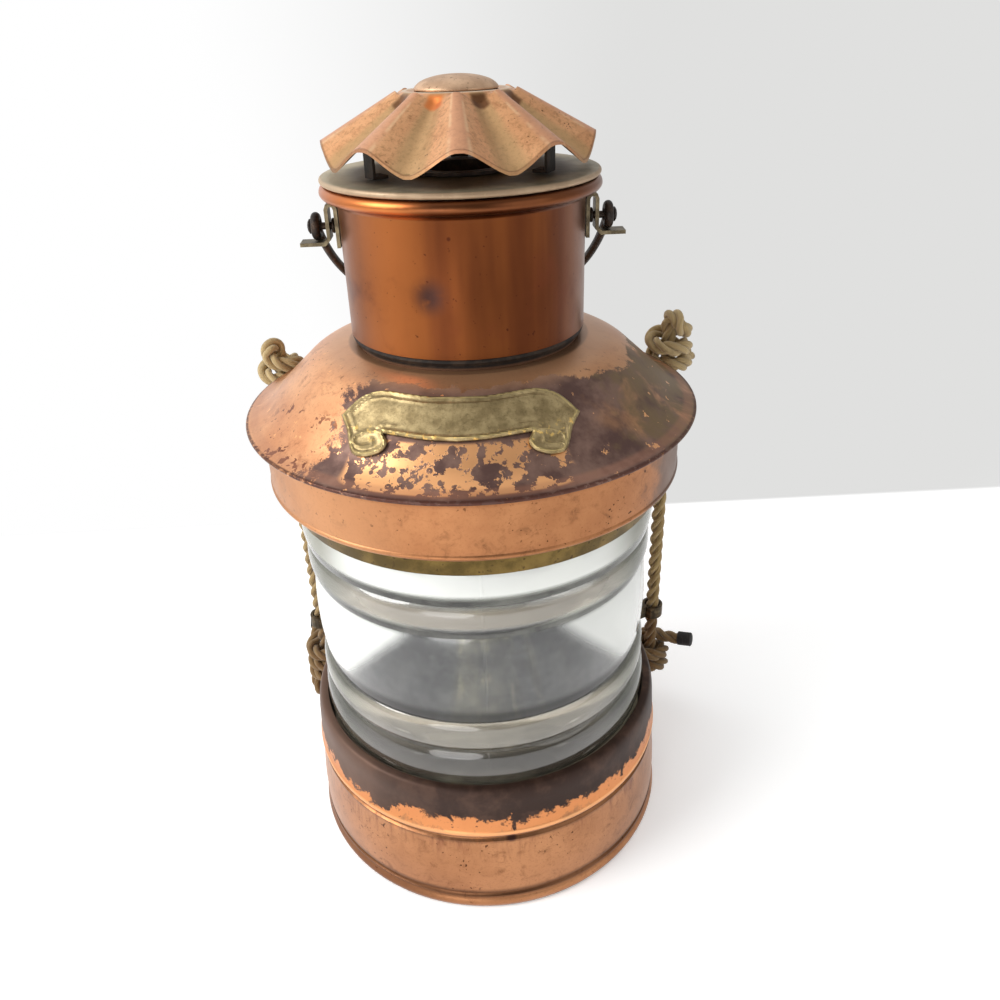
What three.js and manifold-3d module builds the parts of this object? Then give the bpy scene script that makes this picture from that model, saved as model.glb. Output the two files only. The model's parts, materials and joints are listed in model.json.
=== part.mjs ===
import * as THREE from 'three';
import { mergeVertices } from 'three/addons/utils/BufferGeometryUtils.js';
import Module from 'manifold-3d';

// A copper masthead lantern with an oil burner. Millimetres, +Z up, the front faces -Y,
// and the origin is the centre of the flat underside.

// Sheet metal, seats and facets
const SHEET = 0.9;
const SEAT_GAP = 0.3;
const CUT_OVERRUN = 3;
const WELD_DISTANCE = 0.0005;
const ROUND_SIDES = 32;
const SMALL_SIDES = 16;
const PIN_SIDES = 10;
const CABLE_SIDES = 8;
const WIRE_SIDES = 6;
const BEAD_STEPS = 3;
const BEND_STEPS = 4;

// Base
const BASE_HEIGHT = 60.8;
const BASE_LEDGE = 4.9;
const BASE_WAIST_SWELL = 0.7;
const BASE_FOOT_SWELL = 2;
const FOOT_BEAD_HEIGHT = 4.8;
const FOOT_BEAD_BULGE = 0.9;
const FOOT_LIFT = 0.4;
const FOOT_GROOVE_Z = 6.2;
const FOOT_GROOVE_HEIGHT = 2.4;
const FOOT_GROOVE_DEPTH = 0.8;
const WAIST_GROOVE_Z = 36.2;
const WAIST_GROOVE_HEIGHT = 2.6;
const WAIST_GROOVE_DEPTH = 1.1;
const WAIST_RING_HEIGHT = 3;
const WAIST_RING_BULGE = 0.5;
const SHOULDER_HEIGHT = 7.8;
const PAN_RIM_HEIGHT = 8;
const AIR_HOLE_RADIUS = 4;
const AIR_HOLE_CIRCLE = 52;
const AIR_HOLES = 6;

// Lens
const OUTER_RING_RADIUS = 67.3;
const INNER_RING_STEP = 0.8;
const BELT_STEP = 1.3;
const LENS_THICKNESS = 7.3;
const LENS_SINK = 3.55;
const LENS_HEIGHT = 98.5;
const BELT_HEIGHT = 37.4;
const INNER_RING_HEIGHT = 13.4;
const LENS_NOTCH = 2.1;
const LENS_ARC = 225;
const LENS_END_GAP = 1.3;
const BELT_STEPS = 5;
const LENS_RING_STEPS = 3;
const GASKET = 1;
const GALLERY_LIP = 3.9;
const GALLERY_LAP = 2;
const POST_WIDTH = 9.6;
const POST_WEB = 2;

// Crown
const RIM_OVERHANG = 5.4;
const CROWN_HEIGHT = 24;
const BAND_STEP = 7.5;
const BAND_RISE = 7.75;
const BAND_HEIGHT = 23;
const BAND_HEM_HEIGHT = 1.8;
const BAND_HEM_BULGE = 0.4;
const BAND_DROP = 0.9;
const NECK_PLAY = 1.8;
const NECK_SPIGOT = 17.5;
const NECK_FOOT_DROP = 2.2;
const NECK_FOOT_WIDTH = 5.7;
const NECK_STOP_HEIGHT = 1.8;
const NECK_STOP_WIDTH = 1.6;

// Plaque: a bare scroll banner bent round the front of the crown
const PLAQUE_WIDTH = 73.2;
const PLAQUE_HEIGHT = 21.2;
const PLAQUE_REACH_SHARE = 0.472;
const PLAQUE_BEARING = -4.5;
const PLAQUE_SLOPE = 43;
const PLAQUE_THICKNESS = 0.8;
const PLAQUE_RIM_THICKNESS = 1.4;
const PLAQUE_RIM_WIDTH = 1.6;

// Chimney
const BARREL_RADIUS = 40.1;
const BARREL_RISE = 4;
const BARREL_HEIGHT = 41.5;
const FLARE_HEIGHT = 6.2;
const FLARE_REACH = 5.3;
const PLATE_OVERHANG = 4.9;
const PLATE_EDGE = 1.9;
const PLATE_EDGE_WIDTH = 3;
const PLATE_EDGE_ROUND = 0.6;
const DRAUGHT_RADIUS = 13.7;
const BELL_INSET = 10.1;
const BELL_HEIGHT = 8;
const BELL_THROAT = 18;
const BELL_FLANGE = 4;

// Fluted cap
const CAP_INSET = 2;
const CAP_COLLAR_RADIUS = 17.2;
const CAP_HEIGHT = 22.9;
const CAP_DROP = 15.5;
const FLUTES = 9;
const FLUTE_STEPS = 8;
const FLUTE_DEPTH = 3.3;
const FINIAL_RADIUS = 13;
const FINIAL_HEIGHT = 4.2;
const STUD_RADIUS = 2.2;
const STUD_LENGTH = 6;
const CAP_LEGS = 3;
const CAP_LEG_INSET = 12;
const CAP_LEG_WIDTH = 6;
const CAP_LEG_FOOT = 5;

// Bail and its brackets
const PIVOT_DROP = 7.5;
const BAIL_STANDOFF = 7.9;
const BAIL_REACH = 78;
const BAIL_WIRE_RADIUS = 1.5;
const BAIL_CLEARANCE = 1.2;
const BAIL_DROOP_LIMIT = 60;
const BAIL_DROOP_STEP = 0.5;
const BAIL_STEPS = 20;
const EYE_RADIUS = 2.95;
const PIN_RADIUS = 1.15;
const PIN_HEAD_RADIUS = 2.4;
const PIN_HEAD = 0.9;
const STRIP = 1.2;
const STRIP_WIDTH = 6.5;
const STRIP_GAP = 1.8;
const STRIP_RISE = 7.7;
const STRIP_DROP = 6.7;
const TONGUE_DROP = 5.9;
const TONGUE_REACH = 9;

// Halyard eyes and ropes
const ROPE_DIAMETER = 6;
const ROPE_STANDOFF = 11.3;
const RIGHT_ROPE_ANGLE = 26.5;
const LEFT_ROPE_ANGLE = 31;
const LUG_STRIP = 1.2;
const LUG_HEIGHT = 6;
const LUG_PLAY = 0.7;
const LUG_FOOT_WIDTH = 12;
const LUG_FOOT_HEIGHT = 9;
const LUG_RIVET_RADIUS = 1.7;
const LUG_RIVET_HEAD = 0.9;
const UPPER_LUG_RISE = 4.5;
const LOWER_LUG_DROP = 8.3;
const KNOT_PLAY = 0.75;
const KNOT_LEAN = 4;
const KNOT_TURN = 70;
const UPPER_KNOT_GAP = 2;
const LOWER_KNOT_DROP = 22.5;
const SHORT_KNOT_TURNS = 1.25;
const KNOT_TURNS = 2.25;
const LONG_KNOT_TURNS = 3.25;
const TURN_STEPS = 10;
const TAIL_LENGTH = 9;
const WHIPPING_LENGTH = 5;
const WHIPPING = 0.4;

// Oil font, burner and wick
const FONT_RADIUS = 33;
const FONT_HEIGHT = 38;
const FONT_WALL_HEIGHT = 29;
const SEAT_WALL_HEIGHT = 8;
const SEAT_FLANGE = 4;
const MOUTH_RADIUS = 13;
const FILLER_STANDOFF = 8;
const FILLER_RADIUS = 5.5;
const FILLER_RISE = 1.8;
const FILLER_CAP_HEIGHT = 6;
const BURNER_RADIUS = 15.5;
const BURNER_COLLAR_HEIGHT = 6.5;
const BURNER_DOME_HEIGHT = 13;
const WICK_WIDTH = 10;
const WICK_THICKNESS = 1.8;
const WICK_LENGTH = 54.4;
const WICK_RISE = 3;
const WICK_TUBE_RISE = 17.7;
const WICK_TUBE_WALL = 0.8;
const SPUR_RADIUS = 3.6;
const SPUR_WIDTH = 6;
const SPUR_TEETH = 10;
const SPUR_TOOTH = 0.9;
const SPINDLE_RADIUS = 1.1;
const SPINDLE_RISE = 4.7;
const KNOB_RADIUS = 5.5;
const KNOB_WIDTH = 3;
const KNOB_STANDOFF = 5.5;
const KNOB_FLATS = 16;

// Angles
const QUARTER_TURN = Math.PI / 2;
const HALF_TURN = Math.PI;
const FULL_TURN = 2 * Math.PI;
const radians = THREE.MathUtils.degToRad;
const ALONG = new THREE.Vector3(1, 0, 0);
const ACROSS = new THREE.Vector3(0, 1, 0);
const UP = new THREE.Vector3(0, 0, 1);

// Radii that follow from the lens and the barrel
const LENS_BORE_RADIUS = OUTER_RING_RADIUS - LENS_THICKNESS;
const INNER_RING_RADIUS = OUTER_RING_RADIUS - INNER_RING_STEP;
const BELT_RADIUS = OUTER_RING_RADIUS - BELT_STEP;
const BASE_SHOULDER_RADIUS = OUTER_RING_RADIUS + BASE_LEDGE;
const BASE_WAIST_RADIUS = BASE_SHOULDER_RADIUS + BASE_WAIST_SWELL;
const BASE_RADIUS = BASE_SHOULDER_RADIUS + BASE_FOOT_SWELL;
const BAND_RADIUS = OUTER_RING_RADIUS + BAND_STEP;
const RIM_RADIUS = BAND_RADIUS + RIM_OVERHANG;
const ROPE_REACH = RIM_RADIUS + ROPE_STANDOFF;
const NECK_RADIUS = BARREL_RADIUS - NECK_PLAY;
const THROAT_RADIUS = BARREL_RADIUS + SHEET;
const PLAQUE_REACH = THROAT_RADIUS + (RIM_RADIUS - THROAT_RADIUS) * PLAQUE_REACH_SHARE;
const PLATE_RADIUS = BARREL_RADIUS + PLATE_OVERHANG;
const BELL_RADIUS = BARREL_RADIUS - BELL_INSET;
const BAIL_HALF_WIDTH = BARREL_RADIUS + BAIL_STANDOFF;
const CAP_RADIUS = PLATE_RADIUS - CAP_INSET;
const CAP_LEG_REACH = CAP_RADIUS - CAP_LEG_INSET;
const FILLER_REACH = BURNER_RADIUS + FILLER_STANDOFF;
const KNOB_REACH = BURNER_RADIUS + KNOB_STANDOFF;

// Heights, each from the piece below it
const LENS_BOTTOM_Z = BASE_HEIGHT - LENS_SINK;
const LENS_TOP_Z = LENS_BOTTOM_Z + LENS_HEIGHT;
const LOWER_SHELF_Z = LENS_BOTTOM_Z - GASKET - 2 * SEAT_GAP;
const UPPER_SHELF_Z = LENS_TOP_Z + GASKET + 2 * SEAT_GAP;
const LIP_RADIUS = OUTER_RING_RADIUS + SEAT_GAP + SHEET;
const MOUTH_EDGE_RADIUS = OUTER_RING_RADIUS + 2 * SEAT_GAP;
const BAND_BOTTOM_Z = LENS_TOP_Z + BAND_RISE;
const RIM_Z = BAND_BOTTOM_Z + BAND_HEIGHT;
const THROAT_Z = RIM_Z + CROWN_HEIGHT;
const BARREL_BOTTOM_Z = THROAT_Z + BARREL_RISE;
const NECK_TOP_Z = BARREL_BOTTOM_Z + NECK_SPIGOT;
const FLARE_Z = BARREL_BOTTOM_Z + BARREL_HEIGHT;
const FLARE_TOP_Z = FLARE_Z + FLARE_HEIGHT;
const PLATE_Z = FLARE_TOP_Z + SEAT_GAP;
const PLATE_TOP_Z = PLATE_Z + PLATE_EDGE;
const CAP_TOP_Z = PLATE_TOP_Z + CAP_HEIGHT;
const PIVOT_Z = FLARE_Z - PIVOT_DROP;
const STRIP_TOP_Z = PIVOT_Z + STRIP_RISE;
const STRIP_FOOT_Z = PIVOT_Z - STRIP_DROP;
const TONGUE_Z = PIVOT_Z - TONGUE_DROP;
const UPPER_LUG_Z = BAND_BOTTOM_Z + UPPER_LUG_RISE;
const LOWER_LUG_Z = BASE_HEIGHT - LOWER_LUG_DROP;
const UPPER_KNOT_FOOT_Z = UPPER_LUG_Z + LUG_HEIGHT + UPPER_KNOT_GAP;
const LOWER_KNOT_Z = LOWER_LUG_Z - LOWER_KNOT_DROP;
const FONT_BOTTOM_Z = SHEET + SEAT_GAP;
const FONT_TOP_Z = FONT_BOTTOM_Z + FONT_HEIGHT;
const FILLER_TOP_Z = FONT_TOP_Z + FILLER_RISE;
const BURNER_TOP_Z = FONT_TOP_Z + BURNER_COLLAR_HEIGHT + 2 * SEAT_GAP;
const SPINDLE_Z = BURNER_TOP_Z + SPINDLE_RISE;
const WICK_TUBE_TOP_Z = BURNER_TOP_Z + WICK_TUBE_RISE;
const WICK_TOP_Z = WICK_TUBE_TOP_Z + WICK_RISE;

const wasm = await Module();
wasm.setup();

// Keeps the positions, merges shared vertices and drops triangles that have closed up.
function weld(geometry) {
  const bare = new THREE.BufferGeometry();
  bare.setAttribute('position', geometry.getAttribute('position'));
  bare.setIndex(geometry.getIndex());
  const merged = mergeVertices(bare, WELD_DISTANCE);
  const corners = merged.getIndex().array;
  const kept = [];
  for (let i = 0; i < corners.length; i += 3) {
    const [a, b, c] = corners.slice(i, i + 3);
    if (a !== b && b !== c && c !== a) kept.push(a, b, c);
  }
  merged.setIndex(kept);
  return merged;
}

// Six times the volume that the triangles enclose, negative where they face inwards.
function signedVolume(geometry) {
  const place = geometry.getAttribute('position');
  const corners = geometry.getIndex().array;
  const [a, b, c] = [new THREE.Vector3(), new THREE.Vector3(), new THREE.Vector3()];
  let total = 0;
  for (let i = 0; i < corners.length; i += 3) {
    a.fromBufferAttribute(place, corners[i]);
    b.fromBufferAttribute(place, corners[i + 1]);
    c.fromBufferAttribute(place, corners[i + 2]);
    total += a.dot(b.cross(c));
  }
  return total;
}

// A welded closed mesh with its faces pointing out.
function closed(geometry) {
  const welded = weld(geometry);
  if (signedVolume(welded) < 0) welded.getIndex().array.reverse();
  return welded;
}

function toSolid(geometry) {
  const mesh = closed(geometry);
  const vertProperties = new Float32Array(mesh.getAttribute('position').array);
  const triVerts = new Uint32Array(mesh.getIndex().array);
  return new wasm.Manifold(new wasm.Mesh({ numProp: 3, vertProperties, triVerts }));
}

function toGeometry(solid) {
  const mesh = solid.getMesh();
  const geometry = new THREE.BufferGeometry();
  geometry.setAttribute('position', new THREE.BufferAttribute(mesh.vertProperties, 3));
  geometry.setIndex(new THREE.BufferAttribute(mesh.triVerts, 1));
  return geometry;
}

function join(first, ...others) {
  const sum = others.reduce((solid, other) => solid.add(toSolid(other)), toSolid(first));
  return toGeometry(sum);
}

function cut(piece, ...tools) {
  const rest = tools.reduce((solid, tool) => solid.subtract(toSolid(tool)), toSolid(piece));
  return toGeometry(rest);
}

function common(first, second) {
  return toGeometry(toSolid(first).intersect(toSolid(second)));
}

// A turned solid from [radius, height] points; its first corner faces the front.
function revolve(outline, sides = ROUND_SIDES) {
  const points = outline.map(([radius, height]) => new THREE.Vector2(radius, height));
  const last = points[points.length - 1];
  if (points[0].x > 0 || last.x > 0) points.push(points[0].clone());
  return closed(new THREE.LatheGeometry(points, sides).rotateX(QUARTER_TURN));
}

function ring(inner, outer, bottom, top, sides = ROUND_SIDES) {
  return revolve([[inner, bottom], [outer, bottom], [outer, top], [inner, top]], sides);
}

// The closed outline of a sheet: its shown face, then the same line set back to its left.
function thicken(line, thickness) {
  const points = line.map(([u, v]) => new THREE.Vector2(u, v));
  const normals = points.slice(1).map((point, i) => {
    const step = point.clone().sub(points[i]).normalize();
    return new THREE.Vector2(-step.y, step.x);
  });
  const back = points.map((point, i) => {
    const before = normals[Math.max(i - 1, 0)];
    const after = normals[Math.min(i, normals.length - 1)];
    const spread = thickness / (1 + before.dot(after));
    return [point.x + (before.x + after.x) * spread, point.y + (before.y + after.y) * spread];
  });
  return [...line, ...back.reverse()];
}

// A wall whose shown face has every bead and whose hidden face runs plain behind them.
function backed(line, plain, thickness) {
  return [...line, ...thicken(plain, thickness).slice(plain.length)];
}

// Points of a half-round bead on a wall, or of a groove where the bulge is negative.
function bead(radius, bottom, height, bulge) {
  const points = [];
  for (let i = 0; i <= BEAD_STEPS; i += 1) {
    const share = i / BEAD_STEPS;
    points.push([radius + bulge * Math.sin(HALF_TURN * share), bottom + height * share]);
  }
  return points;
}

function shapeOf(points) {
  return new THREE.Shape(points.map(([x, y]) => new THREE.Vector2(x, y)));
}

// A flat outline in X and Y, raised from bottom to top.
function upright(points, bottom, top) {
  const options = { depth: top - bottom, bevelEnabled: false };
  return new THREE.ExtrudeGeometry(shapeOf(points), options).translate(0, 0, bottom);
}

// An outline in X and Z, made as wide along Y as asked, about Y = 0.
function crosswise(points, width) {
  const options = { depth: width, bevelEnabled: false };
  const geometry = new THREE.ExtrudeGeometry(shapeOf(points), options);
  return geometry.translate(0, 0, -width / 2).rotateX(QUARTER_TURN);
}

function block(x0, x1, y0, y1, z0, z1) {
  const geometry = new THREE.BoxGeometry(x1 - x0, y1 - y0, z1 - z0);
  return geometry.translate((x0 + x1) / 2, (y0 + y1) / 2, (z0 + z1) / 2);
}

function rodAlongX(radius, x0, x1, sides = PIN_SIDES) {
  const geometry = new THREE.CylinderGeometry(radius, radius, x1 - x0, sides);
  return geometry.rotateZ(QUARTER_TURN).translate((x0 + x1) / 2, 0, 0);
}

function rodAlongZ(radius, z0, z1, sides = PIN_SIDES) {
  const geometry = new THREE.CylinderGeometry(radius, radius, z1 - z0, sides);
  return geometry.rotateX(QUARTER_TURN).translate(0, 0, (z0 + z1) / 2);
}

// A direction on the plan, in degrees from the front, positive towards +X.
function bearing(degrees) {
  return [Math.sin(radians(degrees)), -Math.cos(radians(degrees))];
}

// A slice of the plan between two bearings, out to a radius.
function slice(from, to, radius, bottom, top) {
  const count = Math.ceil((to - from) / (360 / ROUND_SIDES));
  const points = [[0, 0]];
  for (let i = 0; i <= count; i += 1) {
    const [x, y] = bearing(from + ((to - from) * i) / count);
    points.push([x * radius, y * radius]);
  }
  return upright(points, bottom, top);
}

// A route whose rings lie at its own points, so they are close together where it bends.
class Route extends THREE.CatmullRomCurve3 {
  getPointAt(share, target) {
    return this.getPoint(share, target);
  }

  getTangentAt(share, target) {
    return this.getTangent(share, target);
  }
}

// A round tube along a list of points.
function tube(points, radius, sides = CABLE_SIDES) {
  const section = [];
  for (let i = 0; i < sides; i += 1) {
    const turn = (FULL_TURN * i) / sides;
    section.push([radius * Math.cos(turn), radius * Math.sin(turn)]);
  }
  const extrudePath = new Route(points, false, 'centripetal');
  const options = { steps: points.length - 1, bevelEnabled: false, extrudePath };
  return new THREE.ExtrudeGeometry(shapeOf(section), options);
}

// The finishes
function finish(color, metalness, roughness) {
  return new THREE.MeshStandardMaterial({ color, metalness, roughness });
}

const copper = finish(0xc98a5e, 1, 0.38);
const wornCopper = finish(0xa8623a, 1, 0.34);
const lacqueredCopper = finish(0x9c6248, 0.9, 0.4);
const brass = finish(0x8f7a45, 1, 0.45);
const dullBrass = finish(0x6b5f4c, 0.9, 0.5);
const bronze = finish(0x544a3c, 0.9, 0.5);
const tinplate = finish(0xa7a9a8, 1, 0.3);
const iron = finish(0x2a2420, 0.8, 0.55);
const glass = finish(0xdfe6e2, 0, 0.08);
const felt = finish(0x5a5148, 0, 0.95);
const rope = finish(0xa9895b, 0, 0.95);
const twine = finish(0x1b1a1c, 0, 0.8);
const cotton = finish(0xd9d3c2, 0, 0.98);

const lantern = new THREE.Group();

function add(name, geometry, material, group = lantern) {
  const mesh = new THREE.Mesh(closed(geometry), material);
  mesh.name = name;
  group.add(mesh);
  return mesh;
}

// Base: the outer wall with its rolled foot, grooves and shoulder
function baseOutline() {
  const waist = WAIST_GROOVE_Z + WAIST_GROOVE_HEIGHT;
  const shoulder = BASE_HEIGHT - SHOULDER_HEIGHT;
  const shoulderShares = [[1, 0], [0.86, 0.72], [0.67, 0.95], [0.35, 1], [0, 1]];
  const ledge = BASE_SHOULDER_RADIUS - MOUTH_EDGE_RADIUS;
  const top = shoulderShares.map(([out, up]) => [
    MOUTH_EDGE_RADIUS + ledge * out, shoulder + SHOULDER_HEIGHT * up,
  ]);
  const shown = [
    ...bead(BASE_RADIUS, FOOT_LIFT, FOOT_BEAD_HEIGHT, FOOT_BEAD_BULGE),
    ...bead(BASE_RADIUS, FOOT_GROOVE_Z, FOOT_GROOVE_HEIGHT, -FOOT_GROOVE_DEPTH),
    ...bead(BASE_WAIST_RADIUS, WAIST_GROOVE_Z, WAIST_GROOVE_HEIGHT, -WAIST_GROOVE_DEPTH),
    ...bead(BASE_WAIST_RADIUS, waist, WAIST_RING_HEIGHT, WAIST_RING_BULGE).slice(1),
    ...top,
  ];
  const foot = BASE_RADIUS - FOOT_GROOVE_DEPTH;
  const hidden = [
    [foot, FOOT_LIFT], [foot, FOOT_GROOVE_Z + FOOT_GROOVE_HEIGHT],
    [BASE_WAIST_RADIUS - WAIST_GROOVE_DEPTH, waist - WAIST_GROOVE_HEIGHT / 2],
    top[0], top[2], top[4],
  ];
  return backed(shown, hidden, SHEET);
}

function basePan() {
  const edge = BASE_RADIUS - FOOT_GROOVE_DEPTH - SHEET - SEAT_GAP;
  const pan = revolve([
    [0, 0], [edge, 0], [edge, PAN_RIM_HEIGHT],
    [edge - SHEET, PAN_RIM_HEIGHT], [edge - SHEET, SHEET], [0, SHEET],
  ]);
  const holes = [];
  for (let i = 0; i < AIR_HOLES; i += 1) {
    const [x, y] = bearing((360 * i) / AIR_HOLES);
    const hole = rodAlongZ(AIR_HOLE_RADIUS, -CUT_OVERRUN, SHEET + CUT_OVERRUN);
    holes.push(hole.translate(x * AIR_HOLE_CIRCLE, y * AIR_HOLE_CIRCLE, 0));
  }
  return cut(pan, ...holes);
}

function addBase() {
  add('base_shell', revolve(baseOutline()), copper);
  add('base_pan', basePan(), copper);
  const wall = FONT_RADIUS + SEAT_GAP;
  const flange = wall + SHEET + SEAT_FLANGE;
  add('font_seat', revolve([
    [wall, FONT_BOTTOM_Z], [flange, FONT_BOTTOM_Z], [flange, FONT_BOTTOM_Z + SHEET],
    [wall + SHEET, FONT_BOTTOM_Z + SHEET], [wall + SHEET, SEAT_WALL_HEIGHT], [wall, SEAT_WALL_HEIGHT],
  ], ROUND_SIDES / 2), brass);
}

// Lens: a belt between stepped rings, each swelling outwards between sharp notches
function lensOutline() {
  const outerRing = LENS_HEIGHT / 2 - BELT_HEIGHT / 2 - INNER_RING_HEIGHT;
  const rings = [
    [outerRing, OUTER_RING_RADIUS, LENS_RING_STEPS],
    [INNER_RING_HEIGHT, INNER_RING_RADIUS, LENS_RING_STEPS],
    [BELT_HEIGHT, BELT_RADIUS, BELT_STEPS],
    [INNER_RING_HEIGHT, INNER_RING_RADIUS, LENS_RING_STEPS],
    [outerRing, OUTER_RING_RADIUS, LENS_RING_STEPS],
  ];
  const outline = [[LENS_BORE_RADIUS, LENS_BOTTOM_Z]];
  let bottom = LENS_BOTTOM_Z;
  rings.forEach(([height, radius, steps], place) => {
    const first = place === 0 ? 0 : 1;
    for (let i = first; i <= steps; i += 1) {
      const swell = Math.sin((HALF_TURN * i) / steps);
      outline.push([radius - LENS_NOTCH * (1 - Math.sqrt(swell)), bottom + (height * i) / steps]);
    }
    bottom += height;
  });
  outline.push([LENS_BORE_RADIUS, LENS_TOP_Z]);
  return outline;
}

// The part of a round piece within half an angle of the front.
function frontPart(piece, half) {
  return common(piece, slice(-half, half, 2 * OUTER_RING_RADIUS, -CUT_OVERRUN, 2 * LENS_TOP_Z));
}

// A round wall over half an angle each side of the back.
function backWall(radius, half) {
  const wall = ring(radius, radius + SHEET, LENS_BOTTOM_Z, LENS_TOP_Z);
  return frontPart(wall, half).rotateZ(HALF_TURN);
}

function lensPost(side) {
  const bottom = BASE_HEIGHT + SEAT_GAP;
  const top = LENS_TOP_Z - GALLERY_LAP - SEAT_GAP;
  const inner = OUTER_RING_RADIUS + SEAT_GAP;
  const half = THREE.MathUtils.radToDeg(POST_WIDTH / 2 / inner);
  const cover = frontPart(ring(inner, inner + SHEET, bottom, top), half);
  const web = block(-POST_WEB / 2, POST_WEB / 2, -inner - SHEET / 2, -LENS_BORE_RADIUS, bottom, top);
  return join(cover, web).rotateZ(radians((side * LENS_ARC) / 2));
}

function addLens() {
  const half = LENS_ARC / 2 - LENS_END_GAP;
  const backHalf = 180 - LENS_ARC / 2 - LENS_END_GAP;
  const shield = OUTER_RING_RADIUS - SHEET;
  const mirror = shield - SHEET - SEAT_GAP;
  add('stepped_lens', frontPart(revolve(lensOutline()), half), glass);
  add('rear_shield', backWall(shield, backHalf), copper);
  add('reflector', backWall(mirror, backHalf), tinplate);
  add('lens_post_left', lensPost(-1), brass);
  add('lens_post_right', lensPost(1), brass);
  const lower = LOWER_SHELF_Z + SEAT_GAP;
  const upper = LENS_TOP_Z + SEAT_GAP;
  const sides = ROUND_SIDES / 2;
  add('lower_gasket', ring(LENS_BORE_RADIUS, OUTER_RING_RADIUS, lower, lower + GASKET, sides), felt);
  add('upper_gasket', ring(LENS_BORE_RADIUS, OUTER_RING_RADIUS, upper, upper + GASKET, sides), felt);
}

// Galleries: the brass rings that hold the lens below and above
function addGalleries() {
  const inner = LENS_BORE_RADIUS;
  const lip = LIP_RADIUS - SHEET;
  const wall = BASE_SHOULDER_RADIUS - SHEET - 2 * SEAT_GAP;
  const floor = LOWER_SHELF_Z - SHEET;
  add('lower_gallery', revolve([
    [inner, floor], [wall, floor], [wall, LOWER_SHELF_Z], [LIP_RADIUS, LOWER_SHELF_Z],
    [LIP_RADIUS, LOWER_SHELF_Z + GALLERY_LIP], [lip, LOWER_SHELF_Z + GALLERY_LIP],
    [lip, LOWER_SHELF_Z], [inner, LOWER_SHELF_Z],
  ]), brass);
  const skirt = LENS_TOP_Z - GALLERY_LAP;
  const flange = BAND_BOTTOM_Z + BAND_HEM_HEIGHT;
  const edge = BAND_RADIUS - SHEET - SEAT_GAP;
  add('upper_gallery', revolve([
    [lip, skirt], [LIP_RADIUS, skirt], [LIP_RADIUS, flange], [edge, flange],
    [edge, flange + SHEET], [lip, flange + SHEET], [lip, UPPER_SHELF_Z + SHEET],
    [inner, UPPER_SHELF_Z + SHEET], [inner, UPPER_SHELF_Z], [lip, UPPER_SHELF_Z],
  ]), brass);
}

// Crown: the flared cone above the lens, from its rim to its throat
const crownShares = [
  [1, 0], [0.87, 0.083], [0.77, 0.19], [0.67, 0.345], [0.485, 0.625], [0.36, 0.8], [0.2, 0.925], [0, 1],
];

function crownOutline() {
  const flare = RIM_RADIUS - THROAT_RADIUS;
  const line = crownShares.map(([out, up]) => [THROAT_RADIUS + flare * out, RIM_Z + CROWN_HEIGHT * up]);
  line.push([NECK_RADIUS + SEAT_GAP, THROAT_Z]);
  return line;
}

function crownHeightAt(radius) {
  const line = crownOutline();
  const next = Math.max(line.findIndex(([r]) => r <= radius), 1);
  const [r0, z0] = line[next - 1];
  const [r1, z1] = line[next];
  return z0 + ((z1 - z0) * (r0 - radius)) / (r0 - r1);
}

function neckOutline() {
  const foot = THROAT_Z - NECK_FOOT_DROP;
  const stop = BARREL_BOTTOM_Z - SEAT_GAP;
  const bore = NECK_RADIUS - SHEET;
  return [
    [bore, foot - SHEET], [NECK_RADIUS + NECK_FOOT_WIDTH, foot - SHEET],
    [NECK_RADIUS + NECK_FOOT_WIDTH, foot], [NECK_RADIUS, foot],
    [NECK_RADIUS, stop - NECK_STOP_HEIGHT], [NECK_RADIUS + NECK_STOP_WIDTH, stop - NECK_STOP_HEIGHT],
    [NECK_RADIUS + NECK_STOP_WIDTH, stop], [NECK_RADIUS, stop],
    [NECK_RADIUS, NECK_TOP_Z], [bore, NECK_TOP_Z],
  ];
}

// The right half of the banner's outline as shares of its width and height, from the top
// middle round its horned end, down into the scroll and back to the bottom middle.
const bannerShares = [
  [0, 0.41], [0.11, 0.43], [0.2, 0.5], [0.32, 0.61], [0.41, 0.55], [0.5, 0.31], [0.465, 0.05],
  [0.44, -0.31], [0.4, -0.38], [0.31, -0.3], [0.305, -0.09], [0.14, -0.23], [0, -0.28],
];

function bannerPoints(inset) {
  const width = PLAQUE_WIDTH - 2 * inset;
  const height = PLAQUE_HEIGHT - 2 * inset;
  const right = bannerShares.map(([across, up]) => [width * across, height * up]);
  const left = right.slice(1, -1).map(([across, up]) => [-across, up]);
  return [...right, ...left.reverse()];
}

// A skin of the crown's own form, standing off it by a gap.
function crownSkin(gap, thickness) {
  const line = crownOutline().slice(0, -2);
  const raised = thicken(line, -gap).slice(line.length).reverse();
  const shown = thicken(line, -gap - thickness).slice(line.length).reverse();
  return revolve([...raised, ...shown.reverse()]);
}

function bannerPrism(inset) {
  const lean = radians(PLAQUE_SLOPE);
  const reach = PLAQUE_HEIGHT;
  const prism = upright(bannerPoints(inset), -reach / 2, reach / 2).rotateX(lean);
  prism.translate(0, -PLAQUE_REACH, crownHeightAt(PLAQUE_REACH));
  return prism.rotateZ(radians(PLAQUE_BEARING));
}

function plaque() {
  const field = common(crownSkin(SEAT_GAP, PLAQUE_THICKNESS), bannerPrism(0));
  const raised = common(crownSkin(SEAT_GAP, PLAQUE_RIM_THICKNESS), bannerPrism(0));
  const border = cut(raised, bannerPrism(PLAQUE_RIM_WIDTH));
  return join(field, border);
}

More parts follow.
